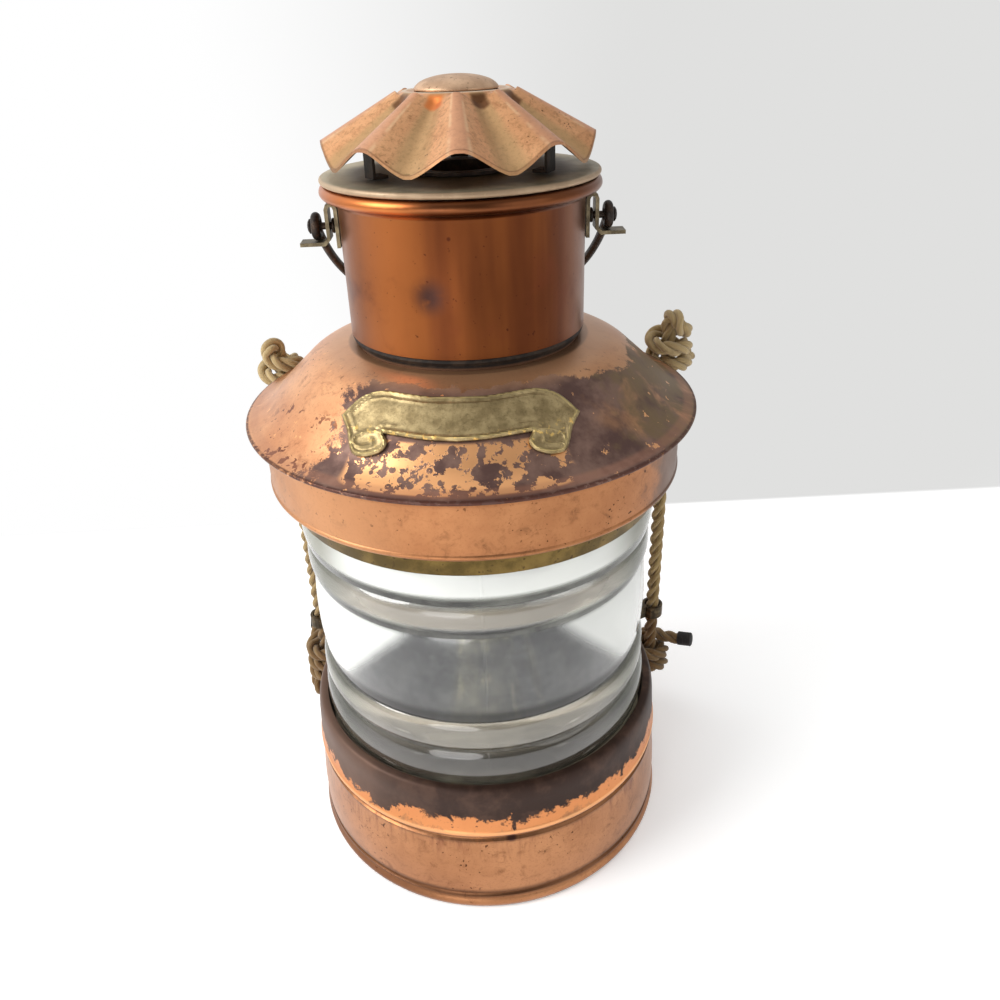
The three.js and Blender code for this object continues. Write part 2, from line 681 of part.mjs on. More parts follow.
function addCrown() {
  const top = crownHeightAt(BAND_RADIUS) - SHEET - BAND_DROP;
  const hem = bead(BAND_RADIUS, BAND_BOTTOM_Z, BAND_HEM_HEIGHT, BAND_HEM_BULGE);
  const edge = [BAND_RADIUS, top];
  const band = backed([...hem, edge], [[BAND_RADIUS, BAND_BOTTOM_Z], edge], SHEET);
  add('crown_band', revolve(band), copper);
  add('crown_dome', revolve(thicken(crownOutline(), SHEET)), lacqueredCopper);
  add('neck_collar', revolve(neckOutline()), copper);
  add('name_plaque', plaque(), brass);
}

// Chimney: the barrel with its rolled top, the plate and the smoke bell below it
function barrelOutline() {
  const flareShares = [
    [0, 0], [0.11, 0.16], [0.43, 0.29], [0.79, 0.355], [1, 0.62], [0.87, 0.9], [0.62, 1],
  ];
  const flare = flareShares.map(([out, up]) => [
    BARREL_RADIUS + FLARE_REACH * out, FLARE_Z + FLARE_HEIGHT * up,
  ]);
  const foot = [BARREL_RADIUS, BARREL_BOTTOM_Z];
  const [mouth, top] = flare[flare.length - 1];
  return backed([foot, ...flare], [foot, flare[0], [mouth, top - SHEET / 2]], SHEET);
}

function plateOutline() {
  const hole = DRAUGHT_RADIUS + SEAT_GAP;
  const round = PLATE_RADIUS - PLATE_EDGE_ROUND;
  const step = PLATE_RADIUS - PLATE_EDGE_WIDTH;
  return [
    [hole, PLATE_TOP_Z - SHEET], [step - SHEET, PLATE_TOP_Z - SHEET], [step, PLATE_Z], [round, PLATE_Z],
    [PLATE_RADIUS, PLATE_Z + PLATE_EDGE_ROUND], [PLATE_RADIUS, PLATE_TOP_Z - PLATE_EDGE_ROUND],
    [round, PLATE_TOP_Z], [hole, PLATE_TOP_Z],
  ];
}

function bellOutline() {
  const top = PLATE_TOP_Z + SEAT_GAP;
  const throat = top - BELL_THROAT;
  return [
    [BELL_RADIUS, throat - BELL_HEIGHT], [DRAUGHT_RADIUS, throat], [DRAUGHT_RADIUS, top],
    [DRAUGHT_RADIUS + BELL_FLANGE, top],
  ];
}

// The height of the cap's upper face: a cone whose flutes deepen towards the edge.
function capHeight(radius, degrees) {
  const out = Math.max(0, (radius - CAP_COLLAR_RADIUS) / (CAP_RADIUS - CAP_COLLAR_RADIUS));
  const dentStartShare = 0.04;
  const dentShare = 0.45;
  const deep = out < dentStartShare ? 0 : Math.max(out, dentShare);
  return CAP_TOP_Z - CAP_DROP * out + FLUTE_DEPTH * deep * Math.cos(radians(FLUTES * degrees));
}

function flutedCap() {
  const slopeShares = [0, 0.08, 0.5, 1];
  const slope = CAP_RADIUS - CAP_COLLAR_RADIUS;
  const radii = [STUD_RADIUS + SEAT_GAP, ...slopeShares.map((share) => CAP_COLLAR_RADIUS + slope * share)];
  const upper = radii.map((radius) => [radius, 1]);
  const lower = radii.map((radius) => [radius, -1]).reverse();
  const cap = revolve([...upper, ...lower], FLUTES * FLUTE_STEPS);
  const place = cap.getAttribute('position');
  for (let i = 0; i < place.count; i += 1) {
    const [x, y] = [place.getX(i), place.getY(i)];
    const degrees = THREE.MathUtils.radToDeg(Math.atan2(x, -y));
    const under = place.getZ(i) < 0 ? SHEET : 0;
    place.setZ(i, capHeight(Math.hypot(x, y), degrees) - under);
  }
  return cap;
}

function finial() {
  const seat = CAP_TOP_Z + SEAT_GAP;
  const domeShares = [[1, 0], [0.97, 0.24], [0.8, 0.6], [0.5, 0.88], [0, 1]];
  const dome = domeShares.map(([out, up]) => [FINIAL_RADIUS * out, seat + FINIAL_HEIGHT * up]);
  const foot = seat - STUD_LENGTH;
  return revolve([[0, foot], [STUD_RADIUS, foot], [STUD_RADIUS, seat], ...dome], SMALL_SIDES);
}

function capLeg(degrees) {
  const bottom = PLATE_TOP_Z + SEAT_GAP;
  const outer = CAP_LEG_REACH + SHEET;
  const top = capHeight(outer, degrees) - SHEET - SEAT_GAP;
  const half = CAP_LEG_WIDTH / 2;
  const post = block(-half, half, -outer, -CAP_LEG_REACH, bottom, top);
  const foot = block(-half, half, -outer, CAP_LEG_FOOT - outer, bottom, bottom + SHEET);
  return join(post, foot).rotateZ(radians(degrees));
}

function addChimney() {
  add('chimney_barrel', revolve(barrelOutline()), wornCopper);
  add('top_plate', revolve(plateOutline()), bronze);
  add('smoke_bell', revolve(thicken(bellOutline(), SHEET), ROUND_SIDES / 2), tinplate);
  for (let i = 0; i < CAP_LEGS; i += 1) {
    add(`cap_leg_${i + 1}`, capLeg((180 / CAP_LEGS) * (2 * i + 1)), bronze);
  }
  add('fluted_cap', flutedCap(), copper);
  add('cap_finial', finial(), copper);
}

// Bail: the carrying wire with an eye at each end, folded back on the crown
function bracketOutline() {
  const inner = BARREL_RADIUS + SEAT_GAP;
  const outer = inner + 2 * STRIP + STRIP_GAP;
  const round = STRIP + STRIP_GAP / 2;
  const line = [[inner, STRIP_FOOT_Z], [inner, STRIP_TOP_Z - round]];
  for (let i = 1; i <= BEND_STEPS; i += 1) {
    const turn = (HALF_TURN * i) / BEND_STEPS;
    line.push([inner + round - round * Math.cos(turn), STRIP_TOP_Z - round + round * Math.sin(turn)]);
  }
  line.push([outer, TONGUE_Z + 2 * STRIP], [outer + STRIP, TONGUE_Z + STRIP]);
  line.push([outer + TONGUE_REACH, TONGUE_Z + STRIP]);
  return thicken(line, -STRIP);
}

function bracket() {
  const outer = BARREL_RADIUS + SEAT_GAP + 2 * STRIP + STRIP_GAP;
  const hole = rodAlongX(PIN_RADIUS + SEAT_GAP, outer - STRIP - STRIP_GAP / 2, outer + CUT_OVERRUN);
  return cut(crosswise(bracketOutline(), STRIP_WIDTH), hole.translate(0, 0, PIVOT_Z));
}

function pivotPin() {
  const head = BARREL_RADIUS + SEAT_GAP + STRIP + SEAT_GAP;
  const end = BAIL_HALF_WIDTH + BAIL_WIRE_RADIUS + SEAT_GAP;
  const inside = rodAlongX(PIN_HEAD_RADIUS, head, head + PIN_HEAD);
  const shank = rodAlongX(PIN_RADIUS, head + PIN_HEAD / 2, end + PIN_HEAD / 2);
  const outside = rodAlongX(PIN_HEAD_RADIUS, end, end + PIN_HEAD);
  return join(inside, shank, outside).translate(0, 0, PIVOT_Z);
}

function eye(side) {
  const section = [];
  for (let i = 0; i < WIRE_SIDES; i += 1) {
    const turn = (FULL_TURN * i) / WIRE_SIDES;
    section.push([EYE_RADIUS + BAIL_WIRE_RADIUS * Math.cos(turn), BAIL_WIRE_RADIUS * Math.sin(turn)]);
  }
  return revolve(section, 2 * WIRE_SIDES).rotateY(QUARTER_TURN).translate(side * BAIL_HALF_WIDTH, 0, 0);
}

// Half of a squared ellipse, from one eye round to the other, in the plane of the wire.
function bowPoints() {
  const squareness = 2.4;
  const start = Math.asin((EYE_RADIUS / BAIL_REACH) ** (squareness / 2));
  const points = [];
  for (let i = 0; i <= BAIL_STEPS; i += 1) {
    const turn = start + ((HALF_TURN - 2 * start) * i) / BAIL_STEPS;
    const across = Math.abs(Math.cos(turn)) ** (2 / squareness) * Math.sign(Math.cos(turn));
    const out = Math.sin(turn) ** (2 / squareness);
    points.push(new THREE.Vector3(BAIL_HALF_WIDTH * across, BAIL_REACH * out, 0));
  }
  return points;
}

// Whether the folded wire, so many degrees below level, clears the crown all along.
function bailClears(degrees) {
  const wireGap = BAIL_WIRE_RADIUS + BAIL_CLEARANCE;
  return bowPoints().every(({ x, y }) => {
    const out = Math.hypot(x, y * Math.cos(radians(degrees)));
    const height = PIVOT_Z - y * Math.sin(radians(degrees));
    return out > RIM_RADIUS || height - wireGap > crownHeightAt(Math.max(out, THROAT_RADIUS));
  });
}

function bail() {
  const wire = join(tube(bowPoints(), BAIL_WIRE_RADIUS, WIRE_SIDES), eye(-1), eye(1));
  let droop = BAIL_DROOP_LIMIT;
  while (!bailClears(droop)) droop -= BAIL_DROOP_STEP;
  return wire.rotateX(-radians(droop)).translate(0, 0, PIVOT_Z);
}

function addBail() {
  add('bracket_right', bracket(), dullBrass);
  add('bracket_left', bracket().rotateZ(HALF_TURN), dullBrass);
  add('pivot_pin_right', pivotPin(), iron);
  add('pivot_pin_left', pivotPin().rotateZ(HALF_TURN), iron);
  add('bail_wire', bail(), iron);
}

// Halyard eyes: a strip bent round the rope, riveted to itself, on a foot against the wall
function lug(wallRadius, bottom) {
  const bore = ROPE_DIAMETER / 2 + LUG_PLAY;
  const foot = wallRadius + SEAT_GAP;
  const middle = bottom + LUG_HEIGHT / 2;
  const top = bottom + LUG_HEIGHT;
  const half = LUG_FOOT_WIDTH / 2;
  const loop = rodAlongZ(bore + LUG_STRIP, bottom, top, SMALL_SIDES).translate(ROPE_REACH, 0, 0);
  const tang = block(foot, ROPE_REACH - bore, -LUG_STRIP, LUG_STRIP, bottom, top);
  const plate = block(foot, foot + LUG_STRIP, -half, half, top - LUG_FOOT_HEIGHT, top);
  const reach = LUG_STRIP + LUG_RIVET_HEAD;
  const rivet = rodAlongZ(LUG_RIVET_RADIUS, -reach, reach).rotateX(QUARTER_TURN);
  rivet.translate((foot + ROPE_REACH - bore) / 2, 0, middle);
  const hole = rodAlongZ(bore, bottom - CUT_OVERRUN, top + CUT_OVERRUN, SMALL_SIDES);
  return cut(join(loop, tang, plate, rivet), hole.translate(ROPE_REACH, 0, 0));
}

// A knot stands this far above and below its middle.
function knotHalfHeight(turns) {
  return ((turns + 1) * (ROPE_DIAMETER + KNOT_PLAY)) / 2;
}

// A stopper knot about its own upright axis: the rope runs up the middle, bends over and
// winds back down round itself, and its tail runs out sideways.
function knotPoints(turns, tail) {
  const wrap = ROPE_DIAMETER + KNOT_PLAY;
  const bend = wrap / 2;
  const top = knotHalfHeight(turns);
  const stemShares = [-1, 0];
  const points = stemShares.map((share) => new THREE.Vector3(0, 0, top * share));
  points.push(new THREE.Vector3(0, 0, top - bend));
  for (let i = 0; i <= BEND_STEPS; i += 1) {
    const turn = (HALF_TURN * i) / BEND_STEPS;
    points.push(new THREE.Vector3(bend - bend * Math.cos(turn), 0, top + bend * Math.sin(turn)));
  }
  const easeShares = [[0.035, 0.22], [0.085, 0.42]];
  const windingShare = 0.4;
  easeShares.forEach(([round, down]) => {
    points.push(new THREE.Vector3(wrap, 0, top - wrap * down).applyAxisAngle(UP, FULL_TURN * round));
  });
  const start = 2 / TURN_STEPS;
  const steps = Math.round(turns * TURN_STEPS) - 2;
  for (let i = 0; i <= steps; i += 1) {
    const round = start + i / TURN_STEPS;
    const place = new THREE.Vector3(wrap, 0, top - wrap * (windingShare + round));
    points.push(place.applyAxisAngle(UP, FULL_TURN * round));
  }
  const last = points[points.length - 1];
  const before = points[points.length - 2];
  const along = last.clone().sub(before).normalize();
  const out = new THREE.Vector3(last.x, last.y, 0).normalize();
  const easeOutShares = [[0.5, 0.08], [1, 0.3]];
  easeOutShares.forEach(([forward, outward]) => {
    points.push(last.clone().addScaledVector(along, tail * forward).addScaledVector(out, tail * outward));
  });
  return points;
}

// The rope from tail to tail, at X = reach, before it is turned into place.
function ropePoints(upperTurns, lowerTurns, upperTurn) {
  const lean = radians(KNOT_LEAN);
  const upper = knotPoints(upperTurns, TAIL_LENGTH);
  const lower = knotPoints(lowerTurns, TAIL_LENGTH);
  upper.forEach((p) => {
    p.z += knotHalfHeight(upperTurns);
    p.applyAxisAngle(UP, upperTurn).applyAxisAngle(ACROSS, -lean);
    p.add(new THREE.Vector3(ROPE_REACH, 0, UPPER_KNOT_FOOT_Z));
  });
  lower.forEach((p) => {
    p.applyAxisAngle(UP, -radians(KNOT_TURN)).applyAxisAngle(ALONG, HALF_TURN);
    p.add(new THREE.Vector3(ROPE_REACH, 0, LOWER_KNOT_Z));
  });
  const runShares = [0.06, 0.5, 0.94];
  const high = UPPER_LUG_Z + LUG_HEIGHT / 2;
  const low = LOWER_LUG_Z + LUG_HEIGHT / 2;
  const run = runShares.map((share) => new THREE.Vector3(ROPE_REACH, 0, high + (low - high) * share));
  return [...upper.reverse(), ...run, ...lower];
}

// The least gap that a tube keeps to itself, away from its own neighbouring points.
function leastGap(points, diameter) {
  const curve = new THREE.CatmullRomCurve3(points, false, 'centripetal');
  const places = curve.getSpacedPoints(8 * points.length);
  const apart = Math.ceil((HALF_TURN * diameter * places.length) / curve.getLength());
  let least = Infinity;
  for (let i = 0; i < places.length; i += 1) {
    for (let j = i + apart; j < places.length; j += 1) {
      least = Math.min(least, places[i].distanceTo(places[j]));
    }
  }
  return least - diameter;
}

// A whipping of twine round the last stretch of a tail.
function whipping(points) {
  const end = points[points.length - 1];
  const along = end.clone().sub(points[points.length - 2]).normalize();
  const start = end.clone().addScaledVector(along, SEAT_GAP);
  const stop = start.clone().addScaledVector(along, WHIPPING_LENGTH);
  return tube([start, start.clone().lerp(stop, 0.5), stop], ROPE_DIAMETER / 2 + WHIPPING);
}

function addRope(name, turn, upperTurns, lowerTurns, upperTurn) {
  const points = ropePoints(upperTurns, lowerTurns, upperTurn);
  points.forEach((p) => p.applyAxisAngle(UP, turn));
  add(`rope_${name}`, tube(points, ROPE_DIAMETER / 2), rope);
  add(`rope_whipping_${name}`, whipping(points), twine);
  const length = new THREE.CatmullRomCurve3(points, false, 'centripetal').getLength();
  const gap = leastGap(points, ROPE_DIAMETER);
  console.log(`rope_${name} length ${length.toFixed(1)} mm, least gap ${gap.toFixed(2)} mm`);
}

function addHalyards() {
  const right = radians(RIGHT_ROPE_ANGLE);
  const left = HALF_TURN - radians(LEFT_ROPE_ANGLE);
  add('lug_upper_right', lug(BAND_RADIUS, UPPER_LUG_Z).rotateZ(right), bronze);
  add('lug_upper_left', lug(BAND_RADIUS, UPPER_LUG_Z).rotateZ(left), bronze);
  add('lug_lower_right', lug(BASE_SHOULDER_RADIUS, LOWER_LUG_Z).rotateZ(right), bronze);
  add('lug_lower_left', lug(BASE_SHOULDER_RADIUS, LOWER_LUG_Z).rotateZ(left), bronze);
  addRope('right', right, KNOT_TURNS, KNOT_TURNS, -QUARTER_TURN);
  addRope('left', left, SHORT_KNOT_TURNS, LONG_KNOT_TURNS, QUARTER_TURN);
}

// Font: the oil tank with its open mouth and filler
function fontTank() {
  const top = FONT_TOP_Z;
  const side = FONT_BOTTOM_Z + FONT_WALL_HEIGHT;
  const shoulderShare = 0.8;
  const line = [
    [0, FONT_BOTTOM_Z], [FONT_RADIUS, FONT_BOTTOM_Z], [FONT_RADIUS, side],
    [FONT_RADIUS * shoulderShare, side + (top - side) * shoulderShare], [MOUTH_RADIUS, top],
  ];
  const tank = revolve(thicken(line, SHEET), ROUND_SIDES / 2);
  const seat = side + (top - side) / 2;
  const neck = rodAlongZ(FILLER_RADIUS, seat, FILLER_TOP_Z, SMALL_SIDES).translate(0, FILLER_REACH, 0);
  const bore = rodAlongZ(FILLER_RADIUS - SHEET, side, FILLER_TOP_Z + CUT_OVERRUN, SMALL_SIDES);
  return cut(join(tank, neck), bore.translate(0, FILLER_REACH, 0));
}

function fillerCap() {
  const inner = FILLER_RADIUS + SEAT_GAP;
  const outer = inner + SHEET;
  const roof = FILLER_TOP_Z + SEAT_GAP;
  const skirt = roof + SHEET - FILLER_CAP_HEIGHT / 2;
  const cap = revolve([
    [0, roof], [inner, roof], [inner, skirt], [outer, skirt], [outer, roof + SHEET], [0, roof + SHEET],
  ], SMALL_SIDES);
  const grip = block(-outer, outer, -SHEET / 2, SHEET / 2, roof + SHEET / 2, roof + FILLER_CAP_HEIGHT / 2);
  return join(cap, grip).translate(0, FILLER_REACH, 0);
}

function burnerCollar() {
  const seat = FONT_TOP_Z + SEAT_GAP;
  const plug = MOUTH_RADIUS - SHEET - SEAT_GAP;
  return revolve([
    [plug - SHEET, seat - BURNER_COLLAR_HEIGHT / 2], [plug, seat - BURNER_COLLAR_HEIGHT / 2], [plug, seat],
    [BURNER_RADIUS, seat], [BURNER_RADIUS, seat + BURNER_COLLAR_HEIGHT],
    [plug - SHEET, seat + BURNER_COLLAR_HEIGHT],
  ], SMALL_SIDES);
}

const WICK_SLOT = WICK_THICKNESS + 2 * SEAT_GAP;
const SPUR_Y = WICK_THICKNESS / 2 + SEAT_GAP + SPUR_RADIUS + SPUR_TOOTH;

function burnerDome() {
  const domeShares = [[1, 0], [0.97, 0.3], [0.8, 0.68], [0.6, 0.9], [0.3, 1]];
  const line = domeShares.map(([out, up]) => [BURNER_RADIUS * out, BURNER_TOP_Z + BURNER_DOME_HEIGHT * up]);
  const dome = revolve(thicken(line, SHEET), SMALL_SIDES);
  const halfWidth = WICK_WIDTH / 2 + WICK_TUBE_WALL + 2 * SEAT_GAP;
  const halfDepth = WICK_SLOT / 2 + WICK_TUBE_WALL + SEAT_GAP;
  const middle = BURNER_TOP_Z + BURNER_DOME_HEIGHT / 2;
  const top = BURNER_TOP_Z + BURNER_DOME_HEIGHT + CUT_OVERRUN;
  const slot = block(-halfWidth, halfWidth, -halfDepth, halfDepth, middle, top);
  const hole = rodAlongX(SPINDLE_RADIUS + SEAT_GAP, WICK_WIDTH, BURNER_RADIUS + CUT_OVERRUN);
  return cut(dome, slot, hole.translate(0, SPUR_Y, SPINDLE_Z));
}

function wickTube() {
  const [halfWidth, halfDepth] = [WICK_WIDTH / 2 + SEAT_GAP, WICK_SLOT / 2];
  const wall = WICK_TUBE_WALL;
  const bottom = FONT_TOP_Z + SEAT_GAP;
  const outside = block(-halfWidth - wall, halfWidth + wall, -halfDepth - wall, halfDepth + wall,
    bottom, WICK_TUBE_TOP_Z);
  const inside = block(-halfWidth, halfWidth, -halfDepth, halfDepth, bottom - CUT_OVERRUN,
    WICK_TUBE_TOP_Z + CUT_OVERRUN);
  const window = SPUR_WIDTH / 2 + SEAT_GAP;
  const tall = SPUR_RADIUS + SPUR_TOOTH + SEAT_GAP;
  const reach = halfDepth + wall + CUT_OVERRUN;
  const opening = block(-window, window, 0, reach, SPINDLE_Z - tall, SPINDLE_Z + tall);
  const flange = rodAlongZ(MOUTH_RADIUS - 2 * SHEET - 2 * SEAT_GAP, bottom, bottom + SHEET, SMALL_SIDES);
  return cut(join(outside, flange), inside, opening);
}

function spindle() {
  const points = [];
  for (let i = 0; i < 2 * SPUR_TEETH; i += 1) {
    const turn = (HALF_TURN * i) / SPUR_TEETH;
    const radius = i % 2 === 0 ? SPUR_RADIUS + SPUR_TOOTH : SPUR_RADIUS;
    points.push([radius * Math.cos(turn), radius * Math.sin(turn)]);
  }
  const wheel = upright(points, -SPUR_WIDTH / 2, SPUR_WIDTH / 2).rotateY(QUARTER_TURN);
  const shaft = rodAlongX(SPINDLE_RADIUS, -SPUR_WIDTH, KNOB_REACH - SEAT_GAP);
  return join(wheel, shaft).translate(0, SPUR_Y, SPINDLE_Z);
}

function knob() {
  const points = [];
  for (let i = 0; i < 2 * KNOB_FLATS; i += 1) {
    const turn = (HALF_TURN * i) / KNOB_FLATS;
    const radius = i % 2 === 0 ? KNOB_RADIUS : KNOB_RADIUS - SEAT_GAP;
    points.push([radius * Math.cos(turn), radius * Math.sin(turn)]);
  }
  const disc = upright(points, 0, KNOB_WIDTH).rotateY(QUARTER_TURN);
  return disc.translate(KNOB_REACH, SPUR_Y, SPINDLE_Z);
}

function addBurner() {
  add('font_tank', fontTank(), brass);
  add('filler_cap', fillerCap(), brass);
  add('burner_collar', burnerCollar(), brass);
  add('burner_dome', burnerDome(), brass);
  add('wick_tube', wickTube(), brass);
  const half = WICK_WIDTH / 2;
  const thin = WICK_THICKNESS / 2;
  add('wick', block(-half, half, -thin, thin, WICK_TOP_Z - WICK_LENGTH, WICK_TOP_Z), cotton);
  add('wick_spindle', spindle(), dullBrass);
  add('wick_knob', knob(), brass);
}

addBase();
addLens();
addGalleries();
addCrown();
addChimney();
addBail();
addHalyards();
addBurner();

export default lantern;
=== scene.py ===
import json
import math

import bmesh
import bpy
from mathutils import Matrix, Vector
from mathutils.geometry import delaunay_2d_cdt

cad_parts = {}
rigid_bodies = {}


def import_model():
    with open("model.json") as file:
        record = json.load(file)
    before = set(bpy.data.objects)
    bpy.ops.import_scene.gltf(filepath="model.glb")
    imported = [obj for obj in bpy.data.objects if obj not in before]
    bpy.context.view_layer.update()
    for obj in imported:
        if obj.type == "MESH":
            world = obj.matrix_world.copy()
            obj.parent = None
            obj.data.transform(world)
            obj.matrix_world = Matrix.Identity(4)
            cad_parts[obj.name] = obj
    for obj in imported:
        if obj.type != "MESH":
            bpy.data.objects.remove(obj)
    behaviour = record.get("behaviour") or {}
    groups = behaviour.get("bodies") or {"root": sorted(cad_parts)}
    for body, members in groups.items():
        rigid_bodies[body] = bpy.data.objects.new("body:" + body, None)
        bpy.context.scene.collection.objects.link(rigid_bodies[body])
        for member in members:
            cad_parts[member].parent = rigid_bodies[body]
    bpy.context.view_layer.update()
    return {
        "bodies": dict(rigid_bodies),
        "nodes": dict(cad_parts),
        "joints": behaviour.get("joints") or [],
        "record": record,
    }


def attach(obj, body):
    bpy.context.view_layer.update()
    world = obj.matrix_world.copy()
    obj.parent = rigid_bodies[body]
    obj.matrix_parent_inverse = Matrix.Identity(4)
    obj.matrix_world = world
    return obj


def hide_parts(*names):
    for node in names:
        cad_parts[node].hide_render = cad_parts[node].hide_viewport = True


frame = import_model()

# A copper masthead lantern. Sizes are in millimetres, turned into metres where a mesh is made.
MM = 0.001

# Camera, solved from the ellipses of the round parts
CAMERA_PLACE = (0, -289.6, 304.2)
CAMERA_YAW = 1.768
CAMERA_PITCH = 29.191
CAMERA_ROLL = -2.038
CAMERA_LENS = 30.6
SENSOR_WIDTH = 36

# Turning and sheet
ROUND_SIDES = 160
FINE_SIDES = 96
SMALL_SIDES = 48
SHEET = 0.9
SEAT_GAP = 0.3
CREASE_ANGLE = 32
BEVEL_ANGLE = 40

# Base
BASE_RADIUS = 74.2
BASE_WAIST_RADIUS = 72.9
BASE_SHOULDER_RADIUS = 72.2
BASE_HEIGHT = 60.8
SHOULDER_HEIGHT = 7.8
MOUTH_EDGE_RADIUS = 67.9

# Lens
LENS_BORE_RADIUS = 60
LENS_MIDDLE_Z = 106.5
LENS_HEIGHT = 98.5
LENS_BOTTOM_Z = LENS_MIDDLE_Z - LENS_HEIGHT / 2
LENS_TOP_Z = LENS_BOTTOM_Z + LENS_HEIGHT
BELT_HEIGHT = 37.4
BELT_RADIUS = 66
INNER_RING_HEIGHT = 13.4
INNER_RING_RADIUS = 66.5
OUTER_RING_RADIUS = 67.3
LENS_NOTCH = 2.1
LENS_HALF_ARC = 111.2
REAR_HALF_ARC = 66.2
GASKET = 1
GALLERY_LIP = 3.9
GALLERY_LAP = 2

# Crown
RIM_RADIUS = 80.2
RIM_Z = 186.5
CROWN_HEIGHT = 24
THROAT_RADIUS = 41
BAND_RADIUS = 74.8
BAND_BOTTOM_Z = 163.5
HEM_HEIGHT = 1.8
NECK_RADIUS = 38.3
NECK_TOP_Z = 232

# Plaque
PLAQUE_WIDTH = 73.2
PLAQUE_HEIGHT = 21.2
PLAQUE_THICKNESS = 0.8
PLAQUE_REACH = 59.5
PLAQUE_BEARING = -4.5
PLAQUE_SLOPE = 43

# Chimney
BARREL_RADIUS = 40.1
BARREL_BOTTOM_Z = 214.5
FLARE_Z = 256
FLARE_HEIGHT = 6.2
FLARE_REACH = 5.3
PLATE_RADIUS = 45
PLATE_Z = 262.5
PLATE_TOP_Z = 264.4
DRAUGHT_RADIUS = 13.7

# Fluted cap
CAP_RADIUS = 43
CAP_COLLAR_RADIUS = 17.2
CAP_TOP_Z = 287.3
CAP_DROP = 15.5
FLUTES = 9
FLUTE_DEPTH = 3.3
FINIAL_RADIUS = 13
FINIAL_HEIGHT = 4.2
STUD_RADIUS = 2.2
STUD_LENGTH = 6

# Bail
PIVOT_Z = 248.5
BAIL_HALF_WIDTH = 48
BAIL_REACH = 78
BAIL_WIRE_RADIUS = 1.5
BAIL_WIRE_SIDES = 20
BAIL_DROOP = 36.5
BRACKET_SHEET = 1.2
EYE_RADIUS = 2.95

# Ropes
ROPE_DIAMETER = 6
ROPE_REACH = 91.5
RIGHT_ROPE_ANGLE = 26.5
LEFT_ROPE_ANGLE = 31
LUG_HEIGHT = 6
UPPER_LUG_Z = 168
LOWER_LUG_Z = 52.5
KNOT_PLAY = 0.75
KNOT_LEAN = 4
KNOT_TURN = 70
UPPER_KNOT_FOOT_Z = 176
LOWER_KNOT_Z = 30
SHORT_KNOT_TURNS = 1.25
KNOT_TURNS = 2.25
LONG_KNOT_TURNS = 3.25
TAIL_LENGTH = 9
WHIPPING_LENGTH = 5
STRANDS = 3
STRAND_SIDES = 12
STRAND_RADIUS = 1.52
STRAND_OFFSET = 1.62
STRAND_DEPTH = 0.96
LAY_LENGTH = 19
ROPE_STEP = 0.8

# Floor and room
WALL_LINE_Y = 236
WALL_LINE_BLUR = 3
FLOOR_HALF = 40000
FLOOR_LIFT = 0.22

# Angles and directions
DEGREE = math.radians(1)
QUARTER_TURN = math.pi / 2
HALF_TURN = math.pi
FULL_TURN = 2 * math.pi
ALONG = Vector((1, 0, 0))
UP = Vector((0, 0, 1))
SIDES = (("right", 1), ("left", -1))

# Colours by the 0 to 255 values that they show as, and a full share for a mix of shares
WHITE = (255, 255, 255)
WALL_GREY = (224, 224, 223)
# Bare copper where the crown's lacquer is gone, and a painted highlight on the base's bead
BARE_COPPER_AND_HIGHLIGHT = (238, 176, 122)
FULL = (1, 1, 1, 1)


def spun(degrees, axis):
    return Matrix.Rotation(degrees * DEGREE, 3, axis)


def link(name, data):
    made = bpy.data.objects.new(name, data)
    bpy.context.scene.collection.objects.link(made)
    return made


def add_camera():
    yaw, pitch, roll = (a * DEGREE for a in (CAMERA_YAW, CAMERA_PITCH, CAMERA_ROLL))
    level = Vector((math.sin(yaw), math.cos(yaw), 0))
    forward = level * math.cos(pitch) - UP * math.sin(pitch)
    right = Vector((math.cos(yaw), -math.sin(yaw), 0))
    up = right.cross(forward)
    rolled_right = right * math.cos(roll) + up * math.sin(roll)
    rolled_up = up * math.cos(roll) - right * math.sin(roll)
    data = bpy.data.cameras.new("camera")
    data.sensor_width = SENSOR_WIDTH
    data.lens = CAMERA_LENS
    data.clip_start = 0.01
    matrix = Matrix((rolled_right, rolled_up, -forward)).transposed().to_4x4()
    matrix.translation = Vector(CAMERA_PLACE) * MM
    camera = link("camera", data)
    camera.matrix_world = matrix
    bpy.context.scene.camera = camera


# Materials
def tone(value):
    """A colour for a socket: linear where it is given as red, green and blue from 0 to 255."""
    if not isinstance(value, tuple) or len(value) != 3:
        return value
    shares = [part / 255 for part in value]
    return (*(s / 12.92 if s <= 0.04045 else ((s + 0.055) / 1.055) ** 2.4 for s in shares), 1)


